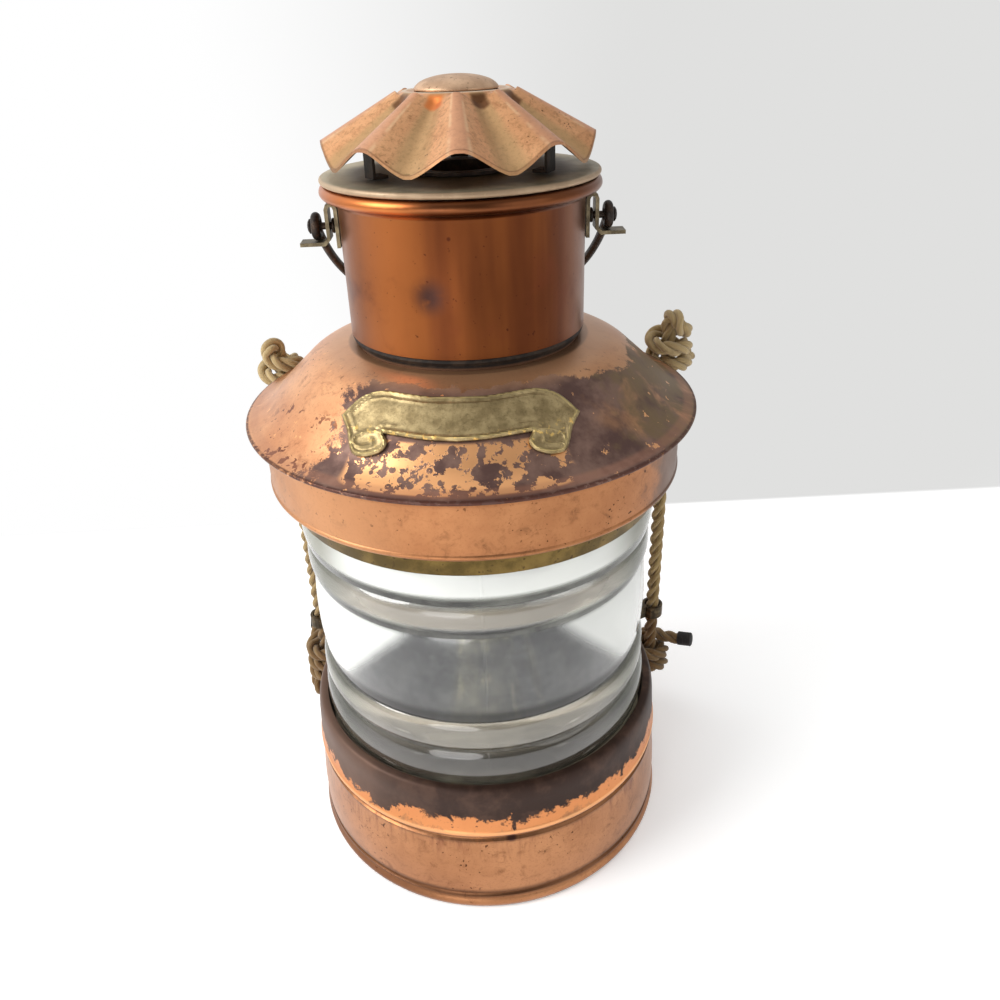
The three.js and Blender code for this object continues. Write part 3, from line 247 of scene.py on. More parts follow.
class Nodes:
    """A node tree: its helpers add one node each and return its output."""

    def __init__(self, tree, coordinates):
        self.tree = tree
        self.place = self.add("ShaderNodeTexCoord").outputs[coordinates]
        self.x, self.y, self.z = self.add("ShaderNodeSeparateXYZ", {0: self.place}).outputs

    def add(self, kind, inputs=None, **settings):
        node = self.tree.nodes.new(kind)
        for key, value in settings.items():
            setattr(node, key, value)
        for key, value in (inputs or {}).items():
            self.feed(node.inputs[key], value)
        return node

    def feed(self, socket, value):
        if isinstance(value, bpy.types.NodeSocket):
            self.tree.links.new(value, socket)
        else:
            socket.default_value = value

    def math(self, operation, first, second=0.0):
        return self.add("ShaderNodeMath", {0: first, 1: second}, operation=operation).outputs[0]

    def folded(self, operation, values):
        result = values[0]
        for value in values[1:]:
            result = self.math(operation, result, value)
        return result

    def times(self, *values):
        return self.folded("MULTIPLY", values)

    def most(self, *values):
        return self.folded("MAXIMUM", values)

    def plus(self, first, second):
        return self.math("ADD", first, second)

    def minus(self, first, second):
        return self.math("SUBTRACT", first, second)

    def mask(self, value, low, high, first=0.0, second=1.0):
        """First below low, second above high and smooth between; low may be the larger."""
        inputs = {"Value": value, "From Min": low, "From Max": high, "To Min": first,
                  "To Max": second}
        return self.add("ShaderNodeMapRange", inputs, interpolation_type="SMOOTHSTEP").outputs[0]

    def level(self, share, first, second):
        """A number that goes from first to second with the share."""
        inputs = {"Value": share, "To Min": first, "To Max": second}
        return self.add("ShaderNodeMapRange", inputs).outputs[0]

    def between(self, value, low, high, soft):
        rise = self.mask(value, low - soft, low + soft)
        return self.times(rise, self.mask(value, high + soft, high - soft))

    def mix(self, share, first, second):
        inputs = {0: share, 6: tone(first), 7: tone(second)}
        return self.add("ShaderNodeMix", inputs, data_type="RGBA").outputs[2]

    def wall_tint(self, depth):
        """The wall behind: white, and a little grey on its right, where depth counts as behind."""
        slope = self.math("DIVIDE", self.x, self.y)
        right = self.times(self.mask(slope, -0.3, 0.22), self.mask(depth, 0.1, 0.6))
        return self.mix(right, WHITE, WALL_GREY)


class Finish(Nodes):
    """A procedural material, painted in layers. Its lengths are in millimetres where they are
    arguments, and its fields of height, radius and bearing in metres and radians."""

    def __init__(self, name):
        self.material = bpy.data.materials.new(name)
        self.material.use_nodes = True
        super().__init__(self.material.node_tree, "Object")
        self.shader = self.tree.nodes["Principled BSDF"]
        self.color = None

    def paint(self, share, color, amount=None):
        """Lays a colour over what is there, by a share and an amount that is the same all over."""
        share = share if amount is None else self.times(share, amount)
        self.color = self.mix(share, self.color, color)

    def ground(self, dark, light, *blots):
        """The first layer, mottled between two tones."""
        self.color = self.mix(self.blots(*blots), dark, light)

    def noise(self, size, detail=4.0, rough=0.6, distortion=0.0, stretch=None):
        """Noise with features of about that size."""
        place = self.place
        if stretch:
            place = self.add("ShaderNodeMapping", {0: place, "Scale": stretch}).outputs[0]
        inputs = {"Vector": place, "Scale": 1 / (size * MM), "Detail": detail, "Roughness": rough,
                  "Distortion": distortion}
        return self.add("ShaderNodeTexNoise", inputs).outputs[0]

    def blots(self, low, high, *noise):
        """Noise cut between two of its values: 0 below low and 1 above high."""
        return self.mask(self.noise(*noise), low, high)

    def cells(self, size):
        inputs = {"Vector": self.place, "Scale": 1 / (size * MM)}
        return self.add("ShaderNodeTexVoronoi", inputs).outputs["Distance"]

    def heights(self, low, high):
        return self.mask(self.z, low * MM, high * MM)

    def height_band(self, low, high, soft):
        return self.between(self.z, low * MM, high * MM, soft * MM)

    def radius(self):
        """Distance from the lantern's axis."""
        flat = self.add("ShaderNodeCombineXYZ", {0: self.x, 1: self.y}).outputs[0]
        return self.add("ShaderNodeVectorMath", {0: flat}, operation="LENGTH").outputs["Value"]

    def radii(self, low, high):
        return self.mask(self.radius(), low * MM, high * MM)

    def radius_band(self, low, high, soft):
        return self.between(self.radius(), low * MM, high * MM, soft * MM)

    def bearing(self):
        """Angle round the axis from the front, positive towards +X."""
        return self.math("ARCTAN2", self.x, self.times(self.y, -1.0))

    def turned_past(self, low, high):
        """0 to 1 between two bearings in degrees, and 0 again at the back, so no line shows."""
        turn = self.bearing()
        past = self.mask(turn, low * DEGREE, high * DEGREE)
        front = self.mask(self.math("ABSOLUTE", turn), 168 * DEGREE, 110 * DEGREE)
        return self.times(past, front)

    def near(self, point, inner, outer):
        """1 within the inner distance of a point, 0 beyond the outer one."""
        inputs = {0: self.place, 1: tuple(c * MM for c in point)}
        distance = self.add("ShaderNodeVectorMath", inputs, operation="DISTANCE").outputs["Value"]
        return self.mask(distance, outer * MM, inner * MM)

    def inner_side(self):
        """1 where the surface faces the lantern's axis."""
        inputs = {0: self.add("ShaderNodeNewGeometry").outputs["Normal"], 1: self.place}
        toward = self.add("ShaderNodeVectorMath", inputs, operation="DOT_PRODUCT")
        return self.mask(toward.outputs["Value"], 0.0, -2 * MM)

    def bump(self, height, depth, strength):
        inputs = {"Height": height, "Distance": depth * MM, "Strength": strength}
        self.feed(self.shader.inputs["Normal"], self.add("ShaderNodeBump", inputs).outputs[0])

    def copper(self, light, middle, deep):
        """Bare worn copper: soft clouds, fine mottling and small dark specks."""
        self.ground(middle, light, 0.36, 0.66, 30, 4, 0.6)
        self.paint(self.blots(0.5, 0.76, 6, 6, 0.75, 0.6), deep)
        self.paint(self.blots(0.5, 0.72, 0.9, 3, 0.7), deep, 0.35)
        specks = self.times(self.blots(0.655, 0.7, 1.5, 2, 0.5), self.blots(0.46, 0.62, 17, 3, 0.6))
        spots = self.times(self.blots(0.72, 0.76, 3.6, 3, 0.6), 0.7)
        self.paint(self.most(specks, spots), (78, 44, 28))

    def relief(self, strength=0.35):
        """Soft dents, pits and fine scratches."""
        height = self.plus(self.noise(16, 2, 0.5), self.times(self.noise(1.3, 3, 0.7), 0.18))
        scratches = self.times(self.noise(1.0, 2, 0.6, 0, (0.08, 0.08, 1.6)), 0.05)
        self.bump(self.plus(height, scratches), 0.5, strength)

    def set(self, **sockets):
        """Feeds the colour and what else is named, and returns the material."""
        names = {"metal": "Metallic", "rough": "Roughness", "ior": "IOR", "sheen": "Sheen Weight",
                 "glass": "Transmission Weight", "coat": "Coat Weight",
                 "coat_rough": "Coat Roughness", "specular": "Specular IOR Level"}
        self.feed(self.shader.inputs["Base Color"], self.color)
        for key, value in sockets.items():
            self.feed(self.shader.inputs[names[key]], value)
        return self.material

    def surface(self, kind, inputs):
        """Puts a shader of that kind before the material's output."""
        made = self.add(kind, inputs).outputs[0]
        self.feed(self.tree.nodes["Material Output"].inputs["Surface"], made)


def make_copper():
    """The band and the rear shield: brighter on the left and dull on the right, as painted light
    and shade, and red under the rim as painted shade.
    """
    finish = Finish("copper")
    finish.copper((178, 124, 84), (160, 108, 72), (126, 84, 56))
    # Painted light: brighter on the left.
    finish.paint(finish.turned_past(-12, -34), (214, 160, 116), 0.4)
    # Painted shade: a dull patch on the right, ragged at its edges.
    shade_bearing = finish.plus(finish.bearing(), finish.times(finish.noise(10, 5), 0.5))
    finish.paint(finish.between(shade_bearing, 64 * DEGREE, 114 * DEGREE, 0.1), (104, 84, 74), 0.85)
    # Painted shade: darker red under the crown's rim.
    finish.paint(finish.height_band(182.5, 190, 1.5), (112, 66, 44), 0.7)
    finish.relief()
    return finish.set(metal=1.0, rough=finish.level(finish.noise(11, 4, 0.6), 0.34, 0.52))


def make_base_copper():
    """Bright below, with the brown lacquer left ragged on the shoulder."""
    finish = Finish("base_copper")
    finish.copper((184, 131, 92), (167, 116, 80), (132, 88, 59))
    ragged = finish.plus(finish.noise(9, 7, 0.74, 0.3), finish.times(finish.noise(30, 2), 0.5))
    edge = finish.plus(finish.z, finish.times(ragged, 27 * MM))
    finish.paint(finish.mask(edge, 58 * MM, 62 * MM), (214, 140, 88), 0.8)
    islands = finish.blots(0.66, 0.68, 4.2, 4, 0.6)
    islands = finish.times(islands, finish.mask(edge, 60 * MM, 63 * MM))
    dark = finish.most(finish.mask(edge, 66.3 * MM, 67.9 * MM), islands)
    lacquer = finish.mix(finish.blots(0.4, 0.65, 12, 4), (52, 34, 26), (76, 54, 43))
    # Painted light: the lacquer lighter on the left.
    painted_light_left = finish.times(finish.turned_past(-20, -50), 0.7)
    finish.paint(dark, finish.mix(painted_light_left, lacquer, (112, 86, 72)))
    streaks = finish.blots(0.45, 0.7, 3, 4, 0.6, 0.2, (1, 1, 0.15))
    below = finish.times(finish.heights(22, 35.5), finish.heights(37.5, 35.5))
    finish.paint(finish.times(streaks, below), (122, 76, 56), 0.7)
    # Painted shade in the groove above the foot and in the waist's groove.
    waist = finish.times(finish.height_band(35.4, 38.6, 0.8), 0.7)
    groove_shade = finish.most(finish.height_band(5.2, 9.6, 1.2), waist)
    finish.paint(groove_shade, (78, 50, 36), 0.75)
    # Painted highlight along the bead above the waist.
    finish.paint(finish.height_band(39.4, 41.2, 0.5), BARE_COPPER_AND_HIGHLIGHT, 0.7)
    finish.paint(finish.near((6.6, -72.4, 37.4), 1.2, 2.8), (66, 44, 42), 0.85)
    # Painted shade low on the foot, on the left.
    foot = finish.times(finish.turned_past(-8, -30), finish.heights(7, 4))
    finish.paint(foot, (92, 60, 44), 0.6)
    finish.paint(finish.inner_side(), (96, 92, 84))
    finish.relief()
    return finish.set(metal=finish.level(dark, 1.0, 0.6), rough=finish.level(dark, 0.34, 0.52))


def make_lacquered_copper():
    """The crown: bare copper on the left, purple-brown lacquer round the plaque, flaking off
    below it."""
    finish = Finish("lacquered_copper")
    radius, bearing = finish.radius(), finish.bearing()
    finish.copper((230, 172, 126), (208, 146, 104), (164, 108, 76))
    # Painted shade: duller copper from the front round to the right.
    finish.paint(finish.turned_past(-26, 6), (156, 118, 86), 0.5)
    spotted = finish.between(bearing, -70 * DEGREE, -28 * DEGREE, 0.15)
    spotted = finish.times(spotted, finish.radii(58, 66))
    spots = finish.times(finish.blots(0.6, 0.63, 5, 4, 0.6, 0.3), spotted)
    finish.paint(spots, (120, 74, 56))
    offset = finish.minus(finish.noise(9, 7, 0.74, 0.4), 0.5)
    turned_by = finish.plus(bearing, finish.times(offset, 0.8))
    side = finish.between(turned_by, -41 * DEGREE, 118 * DEGREE, 0.03)
    far = finish.turned_past(24, 62)
    reach = finish.plus(radius, finish.times(offset, 14 * MM))
    reach = finish.minus(reach, finish.times(far, 8 * MM))
    outer = finish.mask(reach, 47.8 * MM, 48.8 * MM)
    patchy = finish.mix(far, FULL, finish.blots(0.26, 0.5, 17, 4, 0.6, 0.4))
    lacquer = finish.times(side, outer, patchy)
    flakes = finish.noise(6.5, 6, 0.68, 0.25)
    where = finish.between(bearing, -32 * DEGREE, 23 * DEGREE, 0.1)
    where = finish.times(finish.radius_band(64.5, 77.6, 2.2), where)
    dots = finish.mask(finish.cells(3.4), 0.3, 0.36)
    dots = finish.mix(finish.mask(flakes, 0.56, 0.6), dots, FULL)
    lifted = finish.times(finish.mask(flakes, 0.475, 0.5), finish.mask(where, 0.3, 0.6), dots)
    bits = finish.times(finish.blots(0.645, 0.66, 5.4, 5, 0.66), outer)
    gone = finish.most(lifted, bits)
    stain = finish.mix(finish.blots(0.38, 0.66, 12, 5), (92, 68, 62), (132, 104, 92))
    olive = finish.mask(finish.plus(finish.noise(16, 5), finish.times(far, 0.3)), 0.6, 0.86)
    finish.paint(lacquer, finish.mix(olive, stain, (124, 102, 74)))
    finish.paint(gone, BARE_COPPER_AND_HIGHLIGHT)
    finish.paint(finish.radius_band(75.6, 78.8, 0.8), (178, 124, 98), 0.32)
    # Painted shade along the rim's roll, in patches.
    worn = finish.level(finish.blots(0.6, 0.5, 2.2, 4, 0.6), 0.3, 0.85)
    finish.paint(finish.times(finish.radii(78.9, 79.6), worn), (80, 46, 36))
    dusty = finish.radii(54, 46)
    finish.paint(dusty, (184, 140, 104), 0.6)
    # Painted shade round the throat, under the barrel.
    finish.paint(finish.radii(42.2, 41.1), (72, 52, 40), 0.4)
    kept = finish.times(lacquer, finish.minus(1.0, gone))
    finish.bump(finish.plus(finish.noise(16, 2, 0.5), finish.times(kept, 0.12)), 0.5, 0.4)
    metal = finish.minus(finish.level(kept, 1.0, 0.75), finish.times(dusty, 0.35))
    return finish.set(metal=metal, rough=finish.level(kept, 0.34, 0.5))


def make_worn_copper():
    """The barrel: dark polished orange, lighter to the left as painted light and at the right
    edge as a painted reflection, with soft upright bands, one dark bluish spot and a painted
    highlight on the left of its flared top."""
    finish = Finish("worn_copper")
    finish.ground((84, 44, 24), (108, 60, 30), 0.36, 0.66, 13, 3, 0.5, 0, (1, 1, 0.12))
    # Painted light: lighter on the left.
    finish.paint(finish.turned_past(-8, -36), (144, 84, 44))
    # Painted reflection: lighter at the right edge.
    finish.paint(finish.turned_past(44, 64), (140, 94, 70), 0.7)
    finish.paint(finish.blots(0.52, 0.75, 20, 4, 0.6), (98, 50, 30), 0.7)
    # A dark bluish spot on the front.
    stain = finish.near((-11.2, -38.5, 234.0), 0.4, 7.6)
    finish.paint(finish.times(stain, finish.blots(0.2, 0.5, 6, 3)), (50, 36, 35), 0.9)
    dot = finish.near((-4.4, -39.9, 251), 0.35, 0.8)
    finish.paint(finish.most(finish.blots(0.71, 0.74, 1.3, 2, 0.5), dot), (60, 28, 18), 0.75)
    top = finish.heights(256, 257.4)
    finish.paint(top, (118, 72, 46), 0.6)
    # Painted highlight on the left of the flared top.
    finish.paint(finish.times(top, finish.turned_past(-10, -30)), (206, 122, 66), 0.7)
    finish.relief(0.2)
    return finish.set(metal=1.0, rough=finish.level(finish.noise(9, 3), 0.24, 0.4))


def make_cap_copper():
    """The cap: tan copper with brassy patina in the valleys and speckles."""
    finish = Finish("cap_copper")
    finish.copper((228, 174, 128), (210, 154, 110), (174, 124, 86))
    finish.paint(finish.blots(0.45, 0.75, 1.3, 3, 0.7), (146, 108, 70), 0.6)
    wave = finish.math("COSINE", finish.times(finish.bearing(), float(FLUTES)))
    finish.paint(finish.mask(wave, 0.55, 0.95), (212, 156, 124), 0.6)
    valley = finish.plus(wave, finish.times(finish.noise(8), 0.6))
    finish.paint(finish.mask(valley, 0.2, -0.5), (176, 148, 104), 0.6)
    # Painted highlight along the flutes' creases, in patches.
    crease_highlight = finish.between(wave, 0.72, 0.86, 0.06)
    finish.paint(finish.times(crease_highlight, finish.blots(0.4, 0.6, 7, 3)), (238, 204, 160), 0.45)
    # The flutes' valleys by the collar: painted shade, and painted light in those on the left.
    inside = finish.math("ABSOLUTE", finish.minus(finish.radius(), 19.4 * MM))
    pocket_shade_and_light = finish.mask(inside, 2.6 * MM, 1.2 * MM)
    pocket_shade_and_light = finish.times(finish.mask(wave, -0.1, -0.75), pocket_shade_and_light)
    left = finish.between(finish.bearing(), -42 * DEGREE, -3 * DEGREE, 0.04)
    finish.paint(pocket_shade_and_light, finish.mix(left, (96, 56, 34), (214, 120, 60)), 0.85)
    finish.paint(finish.radius_band(15.4, 16.9, 0.35), (222, 200, 172), 0.8)
    finish.paint(finish.radii(42.3, 42.8), (120, 82, 58), 0.55)
    finish.relief()
    return finish.set(metal=1.0, rough=finish.level(finish.noise(6, 4), 0.3, 0.5))


def make_metal(name, dark, light, mottling, metal, rough, specks=None, relief=None, grain=1.0,
               wear_and_light=None):
    """A metal mottled between two tones. Specks are their tone and blots. Rough is one number, or a
    noise's size and the two numbers that it goes between."""
    finish = Finish(name)
    finish.ground(dark, light, *mottling)
    if specks:
        finish.paint(finish.blots(*specks[1:]), specks[0])
    if wear_and_light:
        wear_and_light(finish)
    if relief:
        finish.relief(relief)
    else:
        finish.bump(finish.noise(grain, 3), 0.2, 0.5)
    if isinstance(rough, tuple):
        rough = finish.level(finish.noise(rough[0]), *rough[1:])
    return finish.set(metal=metal, rough=rough)


def plate_wear_and_light(finish):
    """Painted light makes it pale to the left, soot and painted shade darken it under the cap, and
    it is worn at the edge.
    """
    # Painted light: lighter on the left.
    finish.paint(finish.turned_past(-28, -66), (204, 190, 160), 0.7)
    # Soot, and painted shade, under the cap.
    finish.paint(finish.radii(40, 32), (66, 60, 51), 0.75)
    finish.paint(finish.radii(43.6, 44.8), (166, 128, 98), 0.5)


def age_neck(finish):
    """Browner at its foot."""
    finish.paint(finish.heights(211.5, 210.5), (132, 94, 68), 0.8)


def make_metals():
    """The plain metals. Smoke-blackened metal also stands for shadowed joints."""
    blackened = ((34, 28, 24), (62, 50, 40), (0.4, 0.66, 5, 4), 0.6, 0.6)
    return {
        "finial": make_metal("finial_copper", (190, 156, 126), (212, 178, 146), (0.4, 0.65, 6, 4),
                             0.85, 0.5, ((120, 94, 70), 0.62, 0.72, 1.2, 3), 0.35),
        "plate": make_metal("bronze", (136, 127, 105), (176, 163, 137), (0.36, 0.64, 9, 5), 0.55,
                            (5, 0.4, 0.6), ((160, 150, 122), 0.56, 0.7, 1.2, 3), 0.3,
                            wear_and_light=plate_wear_and_light),
        "dark": make_metal("dark_metal", *blackened),
        "neck": make_metal("neck_metal", *blackened, wear_and_light=age_neck),
        "lug": make_metal("lug_bronze", (58, 50, 38), (98, 84, 62), (0.4, 0.66, 3, 4), 0.8, 0.5,
                          ((140, 120, 92), 0.62, 0.72, 1.0, 3)),
        "dull_brass": make_metal("dull_brass", (84, 74, 57), (122, 110, 86), (0.4, 0.65, 4, 4),
                                 0.85, 0.46, ((64, 54, 42), 0.62, 0.75, 1.1, 3), 0.4),
        "brass": make_metal("brass", (84, 68, 34), (122, 100, 54), (0.36, 0.66, 8, 5), 0.9,
                            (5, 0.34, 0.54), ((62, 46, 26), 0.58, 0.72, 2, 3), 0.3),
        "burner": make_metal("burner_brass", (96, 92, 76), (124, 118, 96), (0.36, 0.66, 8, 5), 0.6,
                             0.55, ((196, 186, 150), 0.56, 0.64, 9, 4), 0.3),
        "font": make_metal("font_tin", (88, 90, 90), (128, 128, 124), (0.36, 0.64, 12, 5, 0.7), 0.5,
                           0.5, ((70, 70, 68), 0.56, 0.7, 2.4, 4), 0.3),
        "tinplate": make_metal("tinplate", (236, 236, 232), (250, 249, 244), (0.36, 0.62, 13, 5),
                               0.25, (8, 0.34, 0.46), relief=0.15),
        "iron": make_metal("iron", (40, 34, 30), (72, 58, 48), (0.42, 0.66, 4, 4), 0.7, 0.5,
                           grain=0.8),
    }


def make_plaque_brass():
    """Olive in the hollows and bright on what stands proud, from the piece's own relief."""
    finish = Finish("plaque_brass")
    finish.ground((138, 120, 84), (176, 156, 114), 0.36, 0.66, 5, 5)
    finish.paint(finish.blots(0.5, 0.7, 1.2, 4, 0.7), (100, 86, 58), 0.5)
    proud = finish.add("ShaderNodeAttribute", attribute_name="relief").outputs["Fac"]
    worn = finish.plus(proud, finish.times(finish.noise(3, 4), 0.5))
    finish.paint(finish.mask(worn, 0.86, 1.22), (188, 168, 112), 0.75)
    flecks = finish.times(finish.blots(0.56, 0.64, 2, 4), finish.radius_band(63, 66.5, 1.5))
    finish.paint(flecks, (222, 186, 110))
    finish.bump(finish.plus(finish.noise(1.6, 3, 0.6), finish.noise(5, 2)), 0.22, 0.5)
    return finish.set(metal=0.85, rough=0.42)


def make_glass():
    """Thick old glass: polished, with dirty bands above each notch that are partly painted shade,
    a milky film on the rings and at the belt's sides, painted shade greying the belt's middle and
    the rings' sides, and one fine mould seam."""
    finish = Finish("glass")
    outside = finish.radii(62, 63)
    # Dark bands above each notch: partly dirty glass, partly painted shade.
    bands = []
    for notch, full, end, share in ((74.4, 1.6, 4, 0.6), (87.8, 3.6, 8, 1.0),
                                    (125.2, 3.6, 5.8, 1.0), (138.6, 3.6, 6.4, 1.0)):
        fall = finish.heights(notch + end, notch + full)
        bands.append(finish.times(finish.heights(notch - 0.25, notch + 0.2), fall, share))
    uneven = finish.level(finish.noise(16, 4, 0.6), 0.7, 1.2)
    dirt_and_shade = finish.times(finish.most(*bands), uneven, outside)
    dirt_and_shade_share = finish.math("MINIMUM", dirt_and_shade, 1.0)
    ring = finish.height_band(143.5, 170, 2)
    second = finish.height_band(130.6, 138.2, 1.2)
    low = finish.heights(89, 87)
    foot = finish.times(finish.heights(76, 72), outside)
    belt = finish.height_band(88, 125, 1.5)
    turn = finish.math("ABSOLUTE", finish.bearing())
    spread = finish.times(finish.minus(125 * MM, finish.z), 0.88 * DEGREE / MM)
    side = finish.mask(finish.minus(turn, spread), 19 * DEGREE, 29 * DEGREE)
    middle = finish.times(finish.minus(belt, finish.times(belt, side)), outside)
    side_shade = finish.times(finish.mask(turn, 34 * DEGREE, 58 * DEGREE), finish.minus(1.0, belt))
    side_shade = finish.most(side_shade, finish.times(finish.mask(turn, 62 * DEGREE, 76 * DEGREE), 0.7))
    seam = finish.between(finish.bearing(), -0.35 * DEGREE, 0.35 * DEGREE, 0.12 * DEGREE)

    finish.color = finish.mix(finish.times(low, outside), (246, 248, 243), (200, 191, 172))
    finish.paint(foot, (144, 135, 120))
    finish.paint(finish.times(second, outside), (214, 204, 186))
    # Painted shade: mottled grey across the belt's middle, for the dim inside seen through it.
    mottled_shade = finish.blots(0.4, 0.62, 8, 5, 0.7)
    finish.paint(middle, finish.mix(mottled_shade, (118, 119, 120), (164, 165, 164)))
    # Painted shade towards the rings' sides.
    finish.paint(finish.times(side_shade, outside), (146, 146, 132))
    # The bands above the notches, dirty glass and painted shade.
    finish.paint(dirt_and_shade, (34, 34, 33))

    cloudy = finish.level(finish.noise(14, 3, 0.5, 0, (1, 1, 2)), 0.1, 0.55)
    cloudy = finish.times(cloudy, finish.level(foot, 1.0, 0.55))
    film = finish.most(ring, finish.times(side, belt), finish.times(second, 0.5),
                       finish.times(low, cloudy), finish.times(seam, 0.22), 0.08)
    film = finish.times(film, outside, finish.minus(1.0, dirt_and_shade_share))
    seam_rise = finish.times(seam, outside, 0.6)
    finish.bump(finish.plus(finish.noise(22, 2, 0.5), seam_rise), 0.35, 0.3)
    dulled = finish.most(dirt_and_shade_share, side_shade)
    finish.set(rough=0.09, glass=finish.minus(1.0, finish.times(film, 0.72)), ior=1.5,
               coat=finish.level(dulled, 1.0, 0.08), coat_rough=0.12,
               specular=finish.level(dulled, 0.5, 0.15))
    clear = finish.add("ShaderNodeBsdfTransparent", {"Color": tone((246, 247, 243))}).outputs[0]
    shadow = finish.add("ShaderNodeLightPath").outputs["Is Shadow Ray"]
    finish.surface("ShaderNodeMixShader", {0: shadow, 1: finish.shader.outputs[0], 2: clear})
    return finish.material


def make_fibre(name, size, dark, light, depth, strength, **sockets):
    finish = Finish(name)
    finish.color = finish.mix(finish.noise(size, 3), dark, light)
    finish.bump(finish.noise(0.5, 3), depth, strength)
    return finish.set(**sockets)


def make_rope():
    """Straw coloured fibres that run along each strand, browner low down."""
    finish = Finish("rope")
    uv = finish.add("ShaderNodeUVMap", uv_map="lay").outputs[0]
    uv = finish.add("ShaderNodeMapping", {0: uv, "Scale": (9.0, 0.5, 1.0)}).outputs[0]
    inputs = {"Vector": uv, "Scale": 3.0, "Detail": 4.0, "Roughness": 0.7}
    fibres = finish.add("ShaderNodeTexNoise", inputs).outputs[0]
    finish.color = finish.mix(finish.mask(fibres, 0.35, 0.68), (132, 106, 66), (190, 164, 112))
    finish.paint(finish.blots(0.52, 0.72, 8, 3), (122, 96, 56))
    finish.paint(finish.heights(70, 45), (108, 80, 47), 0.7)
    finish.paint(finish.heights(172, 186), (206, 182, 134), 0.45)
    finish.bump(fibres, 0.35, 0.9)
    return finish.set(rough=0.9, sheen=0.25)


def make_cotton():
    """The wick: woven cotton, charred at its top."""
    finish = Finish("cotton")
    inputs = {"Vector": finish.place, "Scale": 900.0, "Distortion": 1.0}
    weave = finish.add("ShaderNodeTexWave", inputs, bands_direction="Z").outputs[1]
    finish.color = finish.mix(weave, (196, 188, 166), (226, 220, 204))
    finish.paint(finish.heights(64, 66.5), (46, 38, 32))
    finish.bump(weave, 0.15, 0.6)
    return finish.set(rough=0.95)


# Meshes
def place_piece(name, points, faces, material, body, slot, nodes=(), lay=()):
    """Makes a piece that rides with a body. Laid strands come with a place in their lay for each
    corner, keep all their points and stay smooth throughout."""
    mesh = bpy.data.meshes.new(name)
    mesh.from_pydata([Vector(p) * MM for p in points], [], faces)
    if lay:
        layer = mesh.uv_layers.new(name="lay")
        for corner, place in zip(layer.data, lay):
            corner.uv = place
    work = bmesh.new()
    work.from_mesh(mesh)
    if not lay:
        bmesh.ops.remove_doubles(work, verts=work.verts, dist=0.001 * MM)
    bmesh.ops.recalc_face_normals(work, faces=work.faces)
    work.to_mesh(mesh)
    work.free()
    mesh.shade_smooth()
    if not lay:
        mesh.set_sharp_from_angle(angle=CREASE_ANGLE * DEGREE)
    mesh.materials.append(material)
    piece = link(name, mesh)
    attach(piece, body)
    if nodes:
        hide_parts(*nodes)
    return piece


def pairs(line):
    return list(zip(line, line[1:]))


def around(radius, turn, height):
    return (radius * math.sin(turn), -radius * math.cos(turn), height)


def turned(outline, sides=ROUND_SIDES, half_arc=None, middle=0):
    """Points and faces of a closed outline [(radius, height)] turned round the axis. A half arc in
    degrees stops it that far to each side of the middle bearing, with its ends closed."""
    count = len(outline)
    if half_arc is None:
        steps, rings, start, sweep = sides, sides, 0, FULL_TURN
    else:
        steps = math.ceil(sides * half_arc / 180)
        rings, start, sweep = steps + 1, (middle - half_arc) * DEGREE, 2 * half_arc * DEGREE
    points = []
    for i in range(rings):
        turn = start + sweep * i / steps
        points += [around(radius, turn, height) for radius, height in outline]
    faces = []
    for i in range(steps):
        low, high = i * count, (i + 1) % rings * count
        for j in range(count):
            k = (j + 1) % count
            faces.append((low + j, high + j, high + k, low + k))
    if half_arc is not None:
        faces.append(tuple(range(count)))
        faces.append(tuple(range(steps * count, rings * count))[::-1])
    return points, faces


def ring_faces(rings, sides, first=0):
    """Faces between rings of points that follow each other."""
    faces = []
    for low in range(first, first + (rings - 1) * sides, sides):
        for j in range(sides):
            k = (j + 1) % sides
            faces.append((low + j, low + k, low + sides + k, low + sides + j))
    return faces


def end_faces(rings, sides, first=0):
    last = first + (rings - 1) * sides
    return [tuple(range(first, first + sides))[::-1], tuple(range(last, last + sides))]


def smooth(points, steps):
    """Extra points on a curve through the given ones."""
    result = []
    last = len(points) - 1
    for i in range(last):
        chosen = points[max(i - 1, 0)], points[i], points[i + 1], points[min(i + 2, last)]
        before, start, end, after = (Vector(p) for p in chosen)
        a = 2 * start
        b = end - before
        c = 2 * before - 5 * start + 4 * end - after
        d = 3 * start - before - 3 * end + after
        for j in range(steps):
            t = j / steps
            result.append(tuple((a + b * t + c * t * t + d * t * t * t) / 2))
    result.append(tuple(points[last]))
    return result


def curve(shares, start, size, steps):
    """A smooth line through points that are given as shares of a size, from a start."""
    return smooth([(start[0] + size[0] * u, start[1] + size[1] * v) for u, v in shares], steps)


def arc(radius, middle, degrees):
    """Points round a middle at the given angles."""
    return [(middle[0] + radius * math.cos(a * DEGREE), middle[1] + radius * math.sin(a * DEGREE))
            for a in degrees]


def thicken(line, thickness):
    """A sheet's closed outline: its shown face, then the same line set back to its left."""
    steps = [(Vector(end) - Vector(start)).normalized() for start, end in pairs(line)]
    normals = [Vector((-step.y, step.x)) for step in steps]
    back = []
    for i, point in enumerate(line):
        before = normals[max(i - 1, 0)]
        after = normals[min(i, len(normals) - 1)]
        spread = thickness / (1 + before.dot(after))
        back.append(tuple(Vector(point) + (before + after) * spread))
    return [*line, *back[::-1]]


def bead(radius, bottom, height, bulge, steps=8):
    """Points of a half-round bead on a wall, or of a groove where the bulge is negative."""
    return [(radius + bulge * math.sin(HALF_TURN * i / steps), bottom + height * i / steps)
            for i in range(steps + 1)]


